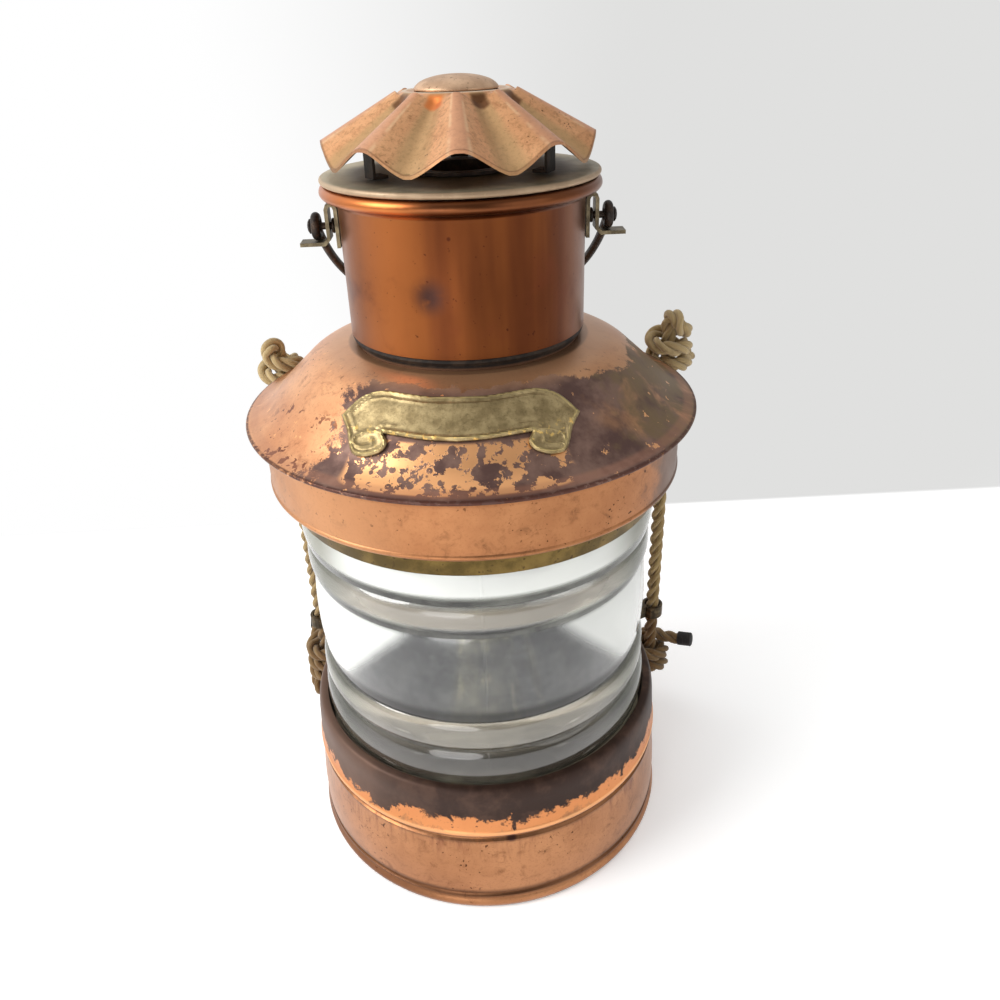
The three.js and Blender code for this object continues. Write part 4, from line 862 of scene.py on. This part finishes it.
def carried_frames(route):
    """Two directions across the route at each point, carried along it without twist."""
    last = len(route) - 1
    ways = [(route[min(i + 1, last)] - route[max(i - 1, 0)]).normalized() for i in range(last + 1)]
    side = ways[0].orthogonal().normalized()
    frames = []
    for way in ways:
        side = (side - way * side.dot(way)).normalized()
        frames.append((side, way.cross(side)))
    return frames


def swung(side, up, turn):
    return side * math.cos(turn) + up * math.sin(turn)


# Base
SHOULDER_SHARES = ((1, 0), (0.95, 0.45), (0.84, 0.76), (0.65, 0.95), (0.35, 1), (0, 1))


def add_base(material):
    waist_z, waist_height, waist_depth = 36.2, 2.6, 1.1
    ring_height, ring_bulge = 3, 0.5
    foot_lift, foot_height, foot_bulge = 0.4, 4.8, 0.9
    groove_z, groove_height, groove_depth = 6.2, 2.4, 0.8
    ledge = BASE_SHOULDER_RADIUS - MOUTH_EDGE_RADIUS
    shoulder = BASE_HEIGHT - SHOULDER_HEIGHT
    wall = [(BASE_RADIUS, 10), (BASE_RADIUS - 0.1, 20), (BASE_WAIST_RADIUS, waist_z - 1)]
    line = [
        *bead(BASE_RADIUS, foot_lift, foot_height, foot_bulge),
        *bead(BASE_RADIUS, groove_z, groove_height, -groove_depth),
        *smooth(wall, 4),
        *bead(BASE_WAIST_RADIUS, waist_z, waist_height, -waist_depth),
        *bead(BASE_WAIST_RADIUS, waist_z + waist_height, ring_height, ring_bulge)[1:],
        *curve(SHOULDER_SHARES, (MOUTH_EDGE_RADIUS, shoulder), (ledge, SHOULDER_HEIGHT), 4),
    ]
    made = turned(thicken(line, SHEET))
    place_piece("base_shell_turned", *made, material, "housing", "copper", ["base_shell"])


# Lens
def swelling(bottom, height, radius, steps=10):
    points = []
    for i in range(steps + 1):
        swell = max(math.sin(HALF_TURN * i / steps), 0)
        notch = LENS_NOTCH * (1 - math.sqrt(swell))
        points.append((radius - notch, bottom + height * i / steps))
    return points


def add_lens(material):
    outer_height = LENS_HEIGHT / 2 - BELT_HEIGHT / 2 - INNER_RING_HEIGHT
    outer, inner = (outer_height, OUTER_RING_RADIUS), (INNER_RING_HEIGHT, INNER_RING_RADIUS)
    bottom = LENS_BOTTOM_Z
    outline = [(LENS_BORE_RADIUS, bottom)]
    for height, radius in (outer, inner, (BELT_HEIGHT, BELT_RADIUS), inner, outer):
        outline += swelling(bottom, height, radius)[1 if len(outline) > 1 else 0:]
        bottom += height
    outline.append((LENS_BORE_RADIUS, bottom))
    made = turned(outline, ROUND_SIDES, LENS_HALF_ARC)
    place_piece("stepped_lens_glass", *made, material, "housing", "glass", ["stepped_lens"])


def add_rear(copper, tin):
    edge = SHEET / 2
    heights = (LENS_BOTTOM_Z, LENS_BOTTOM_Z + edge, LENS_TOP_Z - edge, LENS_TOP_Z)
    walls = (("rear_shield", OUTER_RING_RADIUS, copper, "copper"),
             ("reflector", OUTER_RING_RADIUS - 2 * SHEET - SEAT_GAP, tin, "tinplate"))
    for name, outer, material, slot in walls:
        inner = outer - SHEET
        line = [(inner, LENS_BOTTOM_Z), *((outer, z) for z in heights), (inner, LENS_TOP_Z)]
        made = turned(line, ROUND_SIDES, REAR_HALF_ARC, 180)
        place_piece(f"{name}_rolled", *made, material, "housing", slot, [name])


def add_galleries(brass, dark):
    inner = LENS_BORE_RADIUS
    lip = OUTER_RING_RADIUS + SEAT_GAP
    shelf = LENS_BOTTOM_Z - GASKET - 2 * SEAT_GAP
    wall = BASE_SHOULDER_RADIUS - SHEET - 2 * SEAT_GAP
    top = shelf + GALLERY_LIP
    rolled = [(lip + SHEET * out, top - drop)
              for out, drop in ((1, 0.5), (0.9, 0.15), (0.5, 0), (0.1, 0.15), (0, 0.5))]
    lower = [(inner, shelf - SHEET), (wall, shelf - SHEET), (wall, shelf), (lip + SHEET, shelf),
             *rolled, (lip, shelf), (inner, shelf)]
    place_piece("lower_gallery_ring", *turned(lower), dark, "housing", "brass", ["lower_gallery"])
    skirt = LENS_TOP_Z - GALLERY_LAP
    flange = BAND_BOTTOM_Z + HEM_HEIGHT
    edge = BAND_RADIUS - SHEET - SEAT_GAP
    shelf = LENS_TOP_Z + GASKET + 2 * SEAT_GAP
    rolled = [(lip + SHEET * out, skirt + rise)
              for out, rise in ((0, 0.4), (0.15, 0.1), (0.5, 0), (0.85, 0.1), (1, 0.4))]
    upper = [*rolled, (lip + SHEET, flange), (edge, flange), (edge, flange + SHEET),
             (lip, flange + SHEET), (lip, shelf + SHEET), (inner, shelf + SHEET), (inner, shelf),
             (lip, shelf)]
    place_piece("upper_gallery_ring", *turned(upper), brass, "housing", "brass", ["upper_gallery"])


# Crown
CROWN_SHARES = ((1, 0), (0.87, 0.083), (0.77, 0.19), (0.67, 0.345), (0.485, 0.625), (0.36, 0.8),
                (0.2, 0.925), (0, 1))
CROWN_LINE = curve(CROWN_SHARES, (THROAT_RADIUS, RIM_Z), (RIM_RADIUS - THROAT_RADIUS, CROWN_HEIGHT),
                   5)


def crown_height(radius):
    for (r0, z0), (r1, z1) in pairs(CROWN_LINE):
        if r1 <= radius:
            return z0 + (z1 - z0) * (r0 - radius) / (r0 - r1)
    return CROWN_LINE[-1][1]


def add_crown(dome_material, band_material, neck_material):
    hem_bulge, wall_foot = 0.4, 9
    flange_drop, flange_reach = 2.2, 5.7
    hem = bead(BAND_RADIUS, BAND_BOTTOM_Z, HEM_HEIGHT, hem_bulge)
    top = crown_height(BAND_RADIUS) - 2 * SHEET
    wall = [(BAND_RADIUS, BAND_BOTTOM_Z + wall_foot), (BAND_RADIUS, top)]
    band = turned(thicken([*hem, *wall], SHEET))
    place_piece("crown_band_rolled", *band, band_material, "housing", "copper", ["crown_band"])
    roll = 0.75
    rim = arc(roll, (RIM_RADIUS - roll, RIM_Z - roll / 2), range(-150, 60, 15))
    flare = CROWN_LINE[2:]
    throat, summit = NECK_RADIUS + SEAT_GAP, RIM_Z + CROWN_HEIGHT
    under = [(r, z - SHEET) for r, z in flare]
    dome = turned([*rim, *flare, (throat, summit), (throat, summit - SHEET), *under[::-1]])
    place_piece("crown_dome_spun", *dome, dome_material, "housing", "lacquered_copper",
                ["crown_dome"])
    foot = summit - flange_drop
    stop = BARREL_BOTTOM_Z - SEAT_GAP
    bore, flange = NECK_RADIUS - SHEET, NECK_RADIUS + flange_reach
    stop_ring = [(NECK_RADIUS + out, stop - drop)
                 for out, drop in ((0, 1.8), (1.3, 1.8), (1.6, 0.9), (1.3, 0), (0, 0))]
    neck = turned([(bore, foot - SHEET), (flange, foot - SHEET), (flange, foot),
                   (NECK_RADIUS, foot), *stop_ring, (NECK_RADIUS, NECK_TOP_Z), (bore, NECK_TOP_Z)])
    place_piece("neck_collar_turned", *neck, neck_material, "housing", "copper", ["neck_collar"])


# Plaque
BANNER_SHARES = ((0, 0.41), (0.11, 0.43), (0.2, 0.5), (0.32, 0.61), (0.41, 0.55), (0.5, 0.31),
                 (0.468, 0.05), (0.452, -0.2), (0.43, -0.35), (0.375, -0.41), (0.315, -0.37),
                 (0.288, -0.25), (0.305, -0.09), (0.14, -0.23), (0, -0.28))
FOLD_SHARES = ((0.305, -0.09), (0.36, -0.04), (0.42, -0.08), (0.432, -0.18), (0.4, -0.26),
               (0.35, -0.25), (0.352, -0.17))
PLAQUE_SIZE = (PLAQUE_WIDTH, PLAQUE_HEIGHT)


def banner_outline():
    """The scroll's outline on its own plane, rounded, with its horns and folds kept sharp."""
    half = []
    for start, end in pairs((0, 5, 12, 14)):
        half += curve(BANNER_SHARES[start:end + 1], (0, 0), PLAQUE_SIZE, 10)[:-1]
    half.append(tuple(size * share for size, share in zip(PLAQUE_SIZE, BANNER_SHARES[-1])))
    left = [(-u, v) for u, v in half[1:-1]]
    return [Vector(p) for p in half + left[::-1]]


def distance_to_line(point, line):
    best = math.inf
    for start, end in line:
        step = end - start
        share = max(0.0, min(1.0, (point - start).dot(step) / step.length_squared))
        best = min(best, (point - start - step * share).length)
    return best


def banner_relief(point, edges, folds):
    """How far the banner's face stands proud of its field, in millimetres, and as a share."""
    rim_width, rim_height = 1.5, 0.65
    inner_line, inner_width = 2.75, 0.42
    edge_round, edge_drop = 0.35, 0.25

    def ridge(distance, width):
        return math.exp(-((distance / width) ** 2))

    edge = distance_to_line(point, edges)
    rim = ridge(edge - rim_width / 2, rim_width * 0.42)
    fold = ridge(distance_to_line(point, folds), 0.55)
    inner = ridge(edge - inner_line, inner_width) if point.y > 0 else 0
    share = max(rim, 0.85 * fold, 0.55 * inner)
    return rim_height * share - edge_drop * (1 - min(1.0, edge / edge_round)), share


def solid_faces(triangles, count):
    """The triangles above, the same ones below, and a wall along each edge that only one has."""
    faces = [*triangles, *(tuple(i + count for i in reversed(t)) for t in triangles)]
    rim = {}
    for t in triangles:
        for a, b in zip(t, t[1:] + t[:1]):
            key = (min(a, b), max(a, b))
            rim[key] = None if key in rim else (a, b)
    return faces + [(b, a, a + count, b + count) for a, b in filter(None, rim.values())]


def drop_on_crown(origin, outward):
    """How far from a point, along a direction, the crown's surface lies."""
    halvings = 22
    low, high = -12.0, 12.0
    for _ in range(halvings):
        middle = (low + high) / 2
        place = origin + outward * middle
        if place.z < crown_height(math.hypot(place.x, place.y)):
            low = middle
        else:
            high = middle
    return high


def add_plaque(material):
    outline = banner_outline()
    edges = pairs(outline + outline[:1])
    fold = [Vector(p) for p in curve(FOLD_SHARES, (0, 0), PLAQUE_SIZE, 5)]
    folds = pairs(fold) + pairs([Vector((-p.x, p.y)) for p in fold])
    step, row_step = 0.55, 0.5775
    grid = []
    for i in range(int(PLAQUE_WIDTH / step) + 1):
        for j in range(int(PLAQUE_HEIGHT / step) + 1):
            height = -0.4 * PLAQUE_HEIGHT + row_step * j
            point = Vector((-PLAQUE_WIDTH / 2 + step * i, height))
            if distance_to_line(point, edges) > step * 0.6:
                grid.append(point)
    made = delaunay_2d_cdt(outline + grid, [], [list(range(len(outline)))], 1, 0.0001)
    flat, triangles = made[0], [tuple(t) for t in made[2]]
    lean = PLAQUE_SLOPE * DEGREE
    centre = Vector((0, -PLAQUE_REACH, crown_height(PLAQUE_REACH)))
    upward = Vector((0, math.cos(lean), math.sin(lean)))
    outward = Vector((0, -math.sin(lean), math.cos(lean)))
    turn = spun(PLAQUE_BEARING, "Z")
    above, below, relief = [], [], []
    for point in flat:
        origin = centre + ALONG * point.x + upward * point.y
        back = drop_on_crown(origin, outward) + SEAT_GAP
        lift, share = banner_relief(point, edges, folds)
        above.append(turn @ (origin + outward * (back + PLAQUE_THICKNESS + lift)))
        below.append(turn @ (origin + outward * back))
        relief.append(share)
    piece = place_piece("name_plaque_scroll", above + below, solid_faces(triangles, len(flat)),
                        material, "housing", "brass", ["name_plaque"])
    attribute = piece.data.attributes.new("relief", "FLOAT", "POINT")
    for i, value in enumerate(relief + relief):
        attribute.data[i].value = value


# Chimney
FLARE_SHARES = ((0, 0), (0.05, 0.08), (0.2, 0.2), (0.5, 0.28), (0.8, 0.36), (0.96, 0.5), (1, 0.64),
                (0.94, 0.82), (0.8, 0.95), (0.62, 1))


def add_barrel(material):
    flare = curve(FLARE_SHARES, (BARREL_RADIUS, FLARE_Z), (FLARE_REACH, FLARE_HEIGHT), 3)
    mouth = (BARREL_RADIUS + FLARE_REACH * FLARE_SHARES[-1][0] - SHEET,
             FLARE_Z + FLARE_HEIGHT - SHEET)
    bore, wall_z = BARREL_RADIUS - SHEET, 235
    line = [(BARREL_RADIUS, BARREL_BOTTOM_Z), (BARREL_RADIUS, wall_z), *flare, mouth,
            (bore, FLARE_Z), (bore, BARREL_BOTTOM_Z)]
    place_piece("chimney_barrel_rolled", *turned(line), material, "chimney", "worn_copper",
                ["chimney_barrel"])


def add_plate(material):
    hole = DRAUGHT_RADIUS + SEAT_GAP
    under = PLATE_TOP_Z - SHEET
    edge = (PLATE_TOP_Z - PLATE_Z) / 2
    round_edge = arc(edge, (PLATE_RADIUS - edge, PLATE_Z + edge), range(-90, 91, 18))
    line = [(hole, under), (PLATE_RADIUS - 3.9, under), (PLATE_RADIUS - 3, PLATE_Z), *round_edge,
            (PLATE_RADIUS - 3.2, PLATE_TOP_Z - 0.12), (hole, PLATE_TOP_Z)]
    place_piece("top_plate_turned", *turned(line), material, "chimney", "bronze", ["top_plate"])


def flute_wave(turn, out):
    """The flutes' wave round the cap, 1 on a crest and -1 in a valley: pressed flat with sharp
    creases near the collar, rounder at the edge."""
    phase = (FLUTES * turn / FULL_TURN) % 1
    ramp = 1 - 4 * abs(phase - round(phase))
    soft = math.sin(QUARTER_TURN * ramp)
    steepness, crest_share = 1.28, 0.06
    pressed = max(-1.0, min(1.0, steepness * ramp + crest_share))
    sharp = 0.95 - 0.5 * out
    return sharp * pressed + (1 - sharp) * soft


def cap_height(radius, turn):
    out = max(0.0, (radius - CAP_COLLAR_RADIUS) / (CAP_RADIUS - CAP_COLLAR_RADIUS))
    flat_share, rise_share, inner_depth = 0.02, 0.05, 0.42
    start = min(1.0, max(0.0, (out - flat_share) / rise_share))
    deep = (start * start * (3 - 2 * start)) * (inner_depth + (1 - inner_depth) * out)
    return CAP_TOP_Z - CAP_DROP * out + FLUTE_DEPTH * deep * flute_wave(turn, out)


CAP_SHARES = (0, 0.015, 0.04, 0.065, 0.09, 0.13, 0.2, 0.3, 0.4, 0.5, 0.6, 0.7, 0.8, 0.9, 0.97, 1)
DOME_SHARES = ((1, 0), (1, 0.12), (0.965, 0.27), (0.88, 0.48), (0.74, 0.68), (0.5, 0.87),
               (0.25, 0.97), (0, 1))


def add_cap(cap_material, finial_material):
    slope = CAP_RADIUS - CAP_COLLAR_RADIUS
    seam_radius, seam_height = 16.4, 0.35
    radii = [STUD_RADIUS + SEAT_GAP, 8, 14, seam_radius]
    radii += [CAP_COLLAR_RADIUS + slope * share for share in CAP_SHARES]
    steps, rings = FLUTES * 24, len(radii)
    points = []
    for under in (0, SHEET):
        for radius in radii:
            lift = seam_height if radius == seam_radius and not under else 0
            for i in range(steps):
                turn = FULL_TURN * i / steps
                points.append(around(radius, turn, cap_height(radius, turn) - under + lift))
    faces = ring_faces(rings, steps)
    below = rings * steps
    faces += [(a + below, d + below, c + below, b + below) for a, b, c, d in faces]
    edge = (rings - 1) * steps
    for i in range(steps):
        k = (i + 1) % steps
        faces.append((i, i + below, k + below, k))
        faces.append((edge + i, edge + k, edge + k + below, edge + i + below))
    place_piece("fluted_cap_pressed", points, faces, cap_material, "chimney", "copper",
                ["fluted_cap"])
    seat = CAP_TOP_Z + SEAT_GAP
    dome = curve(DOME_SHARES, (0, seat), (FINIAL_RADIUS, FINIAL_HEIGHT), 4)
    line = [(0, seat - STUD_LENGTH), (STUD_RADIUS, seat - STUD_LENGTH), (STUD_RADIUS, seat), *dome]
    place_piece("cap_finial_turned", *turned(line, FINE_SIDES), finial_material, "chimney",
                "copper", ["cap_finial"])


def add_bell(material):
    top = PLATE_TOP_Z + SEAT_GAP
    height = 18
    throat = top - height
    skirt = smooth([(30, throat - 8), (23, throat - 5), (DRAUGHT_RADIUS + 2, throat - 1.5),
                    (DRAUGHT_RADIUS, throat + 2)], 4)
    line = [*skirt, (DRAUGHT_RADIUS, top), (DRAUGHT_RADIUS + 4, top)]
    place_piece("smoke_bell_spun", *turned(thicken(line, SHEET), FINE_SIDES), material, "chimney",
                "tinplate", ["smoke_bell"])


# Bail
def add_pins(material):
    head = BARREL_RADIUS + SEAT_GAP + BRACKET_SHEET + SEAT_GAP
    end = BAIL_HALF_WIDTH + BAIL_WIRE_RADIUS + SEAT_GAP
    shank = 1.15
    outline = [(0, head), (1.9, head), (2.4, head + 0.3), (2.4, head + 0.7), (2.2, head + 0.9),
               (shank, head + 0.9), (shank, end), (2.3, end), (2.35, end + 0.4), (1.6, end + 0.9),
               (0.7, end + 1.1), (0, end + 1.15)]
    points, faces = turned(outline, SMALL_SIDES)
    for name, side in SIDES:
        placed = [(side * z, y, PIVOT_Z + x) for x, y, z in points]
        place_piece(f"pivot_pin_{name}_round", placed, faces, material, "chimney", "iron",
                    [f"pivot_pin_{name}"])


def add_bail(material):
    squareness = 2.4
    start = math.asin((EYE_RADIUS / BAIL_REACH) ** (squareness / 2))
    droop = spun(-BAIL_DROOP, "X")
    steps = 96
    route = []
    for i in range(steps + 1):
        turn = start + (HALF_TURN - 2 * start) * i / steps
        across = abs(math.cos(turn)) ** (2 / squareness) * math.copysign(1, math.cos(turn))
        out = math.sin(turn) ** (2 / squareness)
        place = droop @ Vector((BAIL_HALF_WIDTH * across, BAIL_REACH * out, 0))
        route.append(place + UP * PIVOT_Z)
    sides = BAIL_WIRE_SIDES
    turns = [FULL_TURN * i / sides for i in range(sides)]
    points = [point + swung(*frame, turn) * BAIL_WIRE_RADIUS
              for point, frame in zip(route, carried_frames(route)) for turn in turns]
    faces = ring_faces(len(route), sides) + end_faces(len(route), sides)
    place_piece("bail_wire_bow", points, faces, material, "bail", "iron", ["bail_wire"])
    section = arc(BAIL_WIRE_RADIUS, (EYE_RADIUS, 0), [360 * i / sides for i in range(sides)])
    points, faces = turned(section, SMALL_SIDES)
    for name, side in SIDES:
        placed = [(side * BAIL_HALF_WIDTH + z, y, PIVOT_Z + x) for x, y, z in points]
        place_piece(f"bail_eye_{name}", placed, faces, material, "bail", "iron")


# Ropes
def knot_half_height(turns):
    return (turns + 1) * (ROPE_DIAMETER + KNOT_PLAY) / 2


def knot_points(turns):
    """A stopper knot about its own upright axis: up the middle, over, and wound back down."""
    wrap = ROPE_DIAMETER + KNOT_PLAY
    bend = wrap / 2
    top = knot_half_height(turns)
    points = [(0, 0, -top), (0, 0, 0), (0, 0, top - bend)]
    bend_steps, turn_steps = 4, 10
    for i in range(bend_steps + 1):
        turn = HALF_TURN * i / bend_steps
        points.append((bend - bend * math.cos(turn), 0, top + bend * math.sin(turn)))
    wound = [(0.035, 0.22), (0.085, 0.42)]
    for i in range(round(turns * turn_steps) - 1):
        share = (2 + i) / turn_steps
        wound.append((share, 0.4 + share))
    points += [spun(360 * share, "Z") @ Vector((wrap, 0, top - wrap * down))
               for share, down in wound]
    points = [Vector(p) for p in points]
    last = points[-1]
    along = (last - points[-2]).normalized() * TAIL_LENGTH
    out = Vector((last.x, last.y, 0)).normalized() * TAIL_LENGTH
    return [*points, last + along * 0.5 + out * 0.08, last + along + out * 0.3]


def rope_points(turn, upper_turns, lower_turns, upper_turn):
    """A rope's points from its upper end to its lower one. Turns about an axis are in degrees."""
    foot = UP * knot_half_height(upper_turns)
    hung = spun(-KNOT_LEAN, "Y") @ spun(upper_turn, "Z")
    flip = spun(180, "X") @ spun(-KNOT_TURN, "Z")
    base = Vector((ROPE_REACH, 0, UPPER_KNOT_FOOT_Z))
    upper = [hung @ (p + foot) + base for p in knot_points(upper_turns)]
    base = Vector((ROPE_REACH, 0, LOWER_KNOT_Z))
    lower = [flip @ p + base for p in knot_points(lower_turns)]
    high, low = UPPER_LUG_Z + LUG_HEIGHT / 2, LOWER_LUG_Z + LUG_HEIGHT / 2
    run = [Vector((ROPE_REACH, 0, high + (low - high) * share)) for share in (0.06, 0.5, 0.94)]
    place = spun(turn, "Z")
    return [place @ p for p in [*upper[::-1], *run, *lower]]


def blend(first, second, low, high, t):
    return first * ((high - t) / (high - low)) + second * ((t - low) / (high - low))


def even_route(points):
    """A smooth curve through the points, sampled about every rope step."""
    dense = []
    padded = [points[0] * 2 - points[1], *points, points[-1] * 2 - points[-2]]
    for before, start, end, after in zip(padded, padded[1:], padded[2:], padded[3:]):
        t0 = 0.0
        t1 = t0 + (start - before).length ** 0.5
        t2 = t1 + (end - start).length ** 0.5
        t3 = t2 + (after - end).length ** 0.5
        pieces = max(2, math.ceil((end - start).length / 0.4))
        for j in range(pieces):
            t = t1 + (t2 - t1) * j / pieces
            a = blend(before, start, t0, t1, t)
            b = blend(start, end, t1, t2, t)
            c = blend(end, after, t2, t3, t)
            dense.append(blend(blend(a, b, t0, t2, t), blend(b, c, t1, t3, t), t1, t2, t))
    dense.append(points[-1])
    lengths = [0.0]
    for start, end in pairs(dense):
        lengths.append(lengths[-1] + (end - start).length)
    count = round(lengths[-1] / ROPE_STEP)
    route = []
    k = 0
    for i in range(count + 1):
        goal = lengths[-1] * i / count
        while k < len(lengths) - 2 and lengths[k + 1] < goal:
            k += 1
        share = (goal - lengths[k]) / (lengths[k + 1] - lengths[k])
        route.append(dense[k].lerp(dense[k + 1], min(1.0, share)))
    return route


def add_laid_rope(name, route, material):
    """Three strands laid round each other along a route, each with its own section and fibres."""
    rings, sides = len(route), STRAND_SIDES
    points, faces, lay = [], [], []
    for strand in range(STRANDS):
        first = len(points)
        for i, (point, (side, up)) in enumerate(zip(route, carried_frames(route))):
            phase = FULL_TURN * (strand / STRANDS + i * ROPE_STEP / LAY_LENGTH)
            outward, onward = swung(side, up, phase), swung(up, -side, phase)
            for j in range(sides):
                reach = swung(outward * STRAND_DEPTH, onward, FULL_TURN * j / sides)
                points.append(point + outward * STRAND_OFFSET + reach * STRAND_RADIUS)
        faces += ring_faces(rings, sides, first) + end_faces(rings, sides, first)
        for i in range(rings - 1):
            v0, v1 = i * ROPE_STEP / LAY_LENGTH, (i + 1) * ROPE_STEP / LAY_LENGTH
            for j in range(sides):
                u0, u1 = j / sides, (j + 1) / sides
                lay += [(u0, v0), (u1, v0), (u1, v1), (u0, v1)]
        lay += [(0, 0)] * (2 * sides)
    place_piece(f"{name}_laid", points, faces, material, "housing", "rope", [name], lay)


def add_whipping(name, route, twine):
    """Black twine wound round the rope's end, with a short tuft of fibres past it."""
    end = route[-1]
    along = (end - route[-3]).normalized()
    side = along.orthogonal().normalized()
    up = along.cross(side)
    wind, start, play, twine_radius = 0.8, -1.2, 0.1, 0.32
    rope_radius = ROPE_DIAMETER / 2
    turns = round((WHIPPING_LENGTH + 1.5) / wind)
    outline = [(0, start)]
    for i in range(turns):
        for share in (0, 0.25, 0.5, 0.75):
            radius = rope_radius + play + twine_radius * math.sin(HALF_TURN * share)
            outline.append((radius, start + wind * (i + share)))
    top = start + wind * turns
    outline += [(rope_radius - 0.4, top + 0.3), (0, top + 0.5)]
    points, faces = turned(outline, SMALL_SIDES)
    placed = [end + side * x + up * y + along * z for x, y, z in points]
    place_piece(f"{name}_wound", placed, faces, twine, "housing", "twine", [name])


def add_ropes(rope, twine):
    plans = (("right", RIGHT_ROPE_ANGLE, KNOT_TURNS, KNOT_TURNS, -90),
             ("left", 180 - LEFT_ROPE_ANGLE, SHORT_KNOT_TURNS, LONG_KNOT_TURNS, 90))
    for name, *plan in plans:
        route = even_route(rope_points(*plan))
        add_laid_rope(f"rope_{name}", route, rope)
        add_whipping(f"rope_whipping_{name}", route, twine)


# The solids that stay get soft edges and their finishes.
def dress(material, edge, *nodes):
    for name in nodes:
        node = frame["nodes"][name]
        node.data.materials.clear()
        node.data.materials.append(material)
        bevel = node.modifiers.new("edges", "BEVEL")
        bevel.width = edge * MM
        bevel.segments = 3
        bevel.limit_method = "ANGLE"
        bevel.angle_limit = BEVEL_ANGLE * DEGREE
        bevel.harden_normals = False
        node.data.shade_smooth()
        node.data.set_sharp_from_angle(angle=CREASE_ANGLE * DEGREE)


# Floor, light and surroundings
def add_floor():
    """A pale floor that meets a pale wall colour behind the lantern."""
    finish = Finish("floor")
    low, high = WALL_LINE_Y - WALL_LINE_BLUR, WALL_LINE_Y + WALL_LINE_BLUR
    beyond = finish.mask(finish.y, low * MM, high * MM)
    depth = finish.math("DIVIDE", finish.y, finish.radius())
    finish.color = finish.mix(beyond, WHITE, finish.wall_tint(depth))
    finish.set(rough=0.9, specular=0.0)
    rays = finish.add("ShaderNodeLightPath").outputs
    direct = rays["Is Camera Ray"]
    seen = finish.most(direct, rays["Is Glossy Ray"], rays["Is Transmission Ray"])
    plain = finish.most(beyond, finish.times(finish.radii(450, 900), direct))
    strength = finish.times(seen, finish.level(plain, FLOOR_LIFT, 1.0))
    inputs = {"Color": finish.color, "Strength": strength}
    glow = finish.add("ShaderNodeEmission", inputs).outputs[0]
    lit = finish.add("ShaderNodeAddShader", {0: finish.shader.outputs[0], 1: glow}).outputs[0]
    finish.surface("ShaderNodeMixShader", {0: finish.times(plain, seen), 1: lit, 2: glow})
    mesh = bpy.data.meshes.new("floor")
    half = FLOOR_HALF * MM
    corners = [(-half, -half, 0), (half, -half, 0), (half, half, 0), (-half, half, 0)]
    mesh.from_pydata(corners, [], [(0, 1, 2, 3)])
    mesh.materials.append(finish.material)
    link("floor", mesh)


def add_light(name, place, size, power, target=(0, 0, 130)):
    data = bpy.data.lights.new(name, "AREA")
    data.shape = "DISK"
    data.size = size * MM
    data.energy = power
    lamp = link(name, data)
    lamp.location = Vector(place) * MM
    way = Vector(target) * MM - lamp.location
    lamp.rotation_mode = "QUATERNION"
    lamp.rotation_quaternion = way.to_track_quat("-Z", "Y")


def add_world():
    """A pale room, brighter to the left and above, darker behind the camera and to the right."""
    world = bpy.data.worlds.new("room")
    bpy.context.scene.world = world
    world.use_nodes = True
    room = Nodes(world.node_tree, "Generated")
    left = room.mask(room.x, 0.7, -0.8, 0.6, 1.3)
    above = room.mask(room.z, -0.2, 0.9, 0.9, 1.0)
    front = room.mask(room.y, -0.9, 0.15, 0.25, 1.0)
    direct = room.add("ShaderNodeLightPath").outputs["Is Camera Ray"]
    shade = room.add("ShaderNodeMix", {0: direct, 2: room.times(left, above, front), 3: 1.0})
    background = room.tree.nodes["Background"]
    tint = room.mix(direct, WHITE, room.wall_tint(room.y))
    room.feed(background.inputs["Color"], tint)
    room.feed(background.inputs["Strength"], shade.outputs[0])


def main():
    bpy.context.scene.view_settings.view_transform = "Standard"
    add_camera()
    metals = make_metals()
    copper, iron, dark = make_copper(), metals["iron"], metals["dark"]
    twine = make_fibre("twine", 1.5, (20, 18, 20), (48, 42, 42), 0.2, 0.7, rough=0.75)
    felt = make_fibre("felt", 1.2, (84, 74, 62), (112, 102, 88), 0.3, 0.8, rough=0.95, sheen=0.3)
    add_ropes(make_rope(), twine)
    add_base(make_base_copper())
    add_lens(make_glass())
    add_rear(copper, metals["tinplate"])
    add_galleries(metals["brass"], dark)
    add_crown(make_lacquered_copper(), copper, metals["neck"])
    add_plaque(make_plaque_brass())
    add_barrel(make_worn_copper())
    add_plate(metals["plate"])
    add_cap(make_cap_copper(), metals["finial"])
    add_bell(dark)
    add_pins(iron)
    add_bail(iron)
    dress(metals["brass"], 0.25, "lens_post_left", "lens_post_right")
    dress(metals["font"], 0.25, "base_pan", "font_seat", "font_tank", "filler_cap")
    dress(metals["burner"], 0.2, "burner_collar", "burner_dome", "wick_tube", "wick_knob")
    dress(metals["dull_brass"], 0.12, "wick_spindle")
    dress(metals["dull_brass"], 0.3, "bracket_right", "bracket_left")
    dress(metals["lug"], 0.3, "lug_upper_right", "lug_upper_left", "lug_lower_right",
          "lug_lower_left")
    dress(dark, 0.25, "cap_leg_1", "cap_leg_2", "cap_leg_3")
    dress(felt, 0.2, "lower_gasket", "upper_gasket")
    dress(make_cotton(), 0.3, "wick")
    add_floor()
    add_world()
    add_light("key", (-900, -350, 800), 700, 9)
    add_light("fill", (800, -700, 600), 900, 2.1)
    add_light("front", (-300, -820, 200), 500, 1.9, (0, 0, 110))


main()
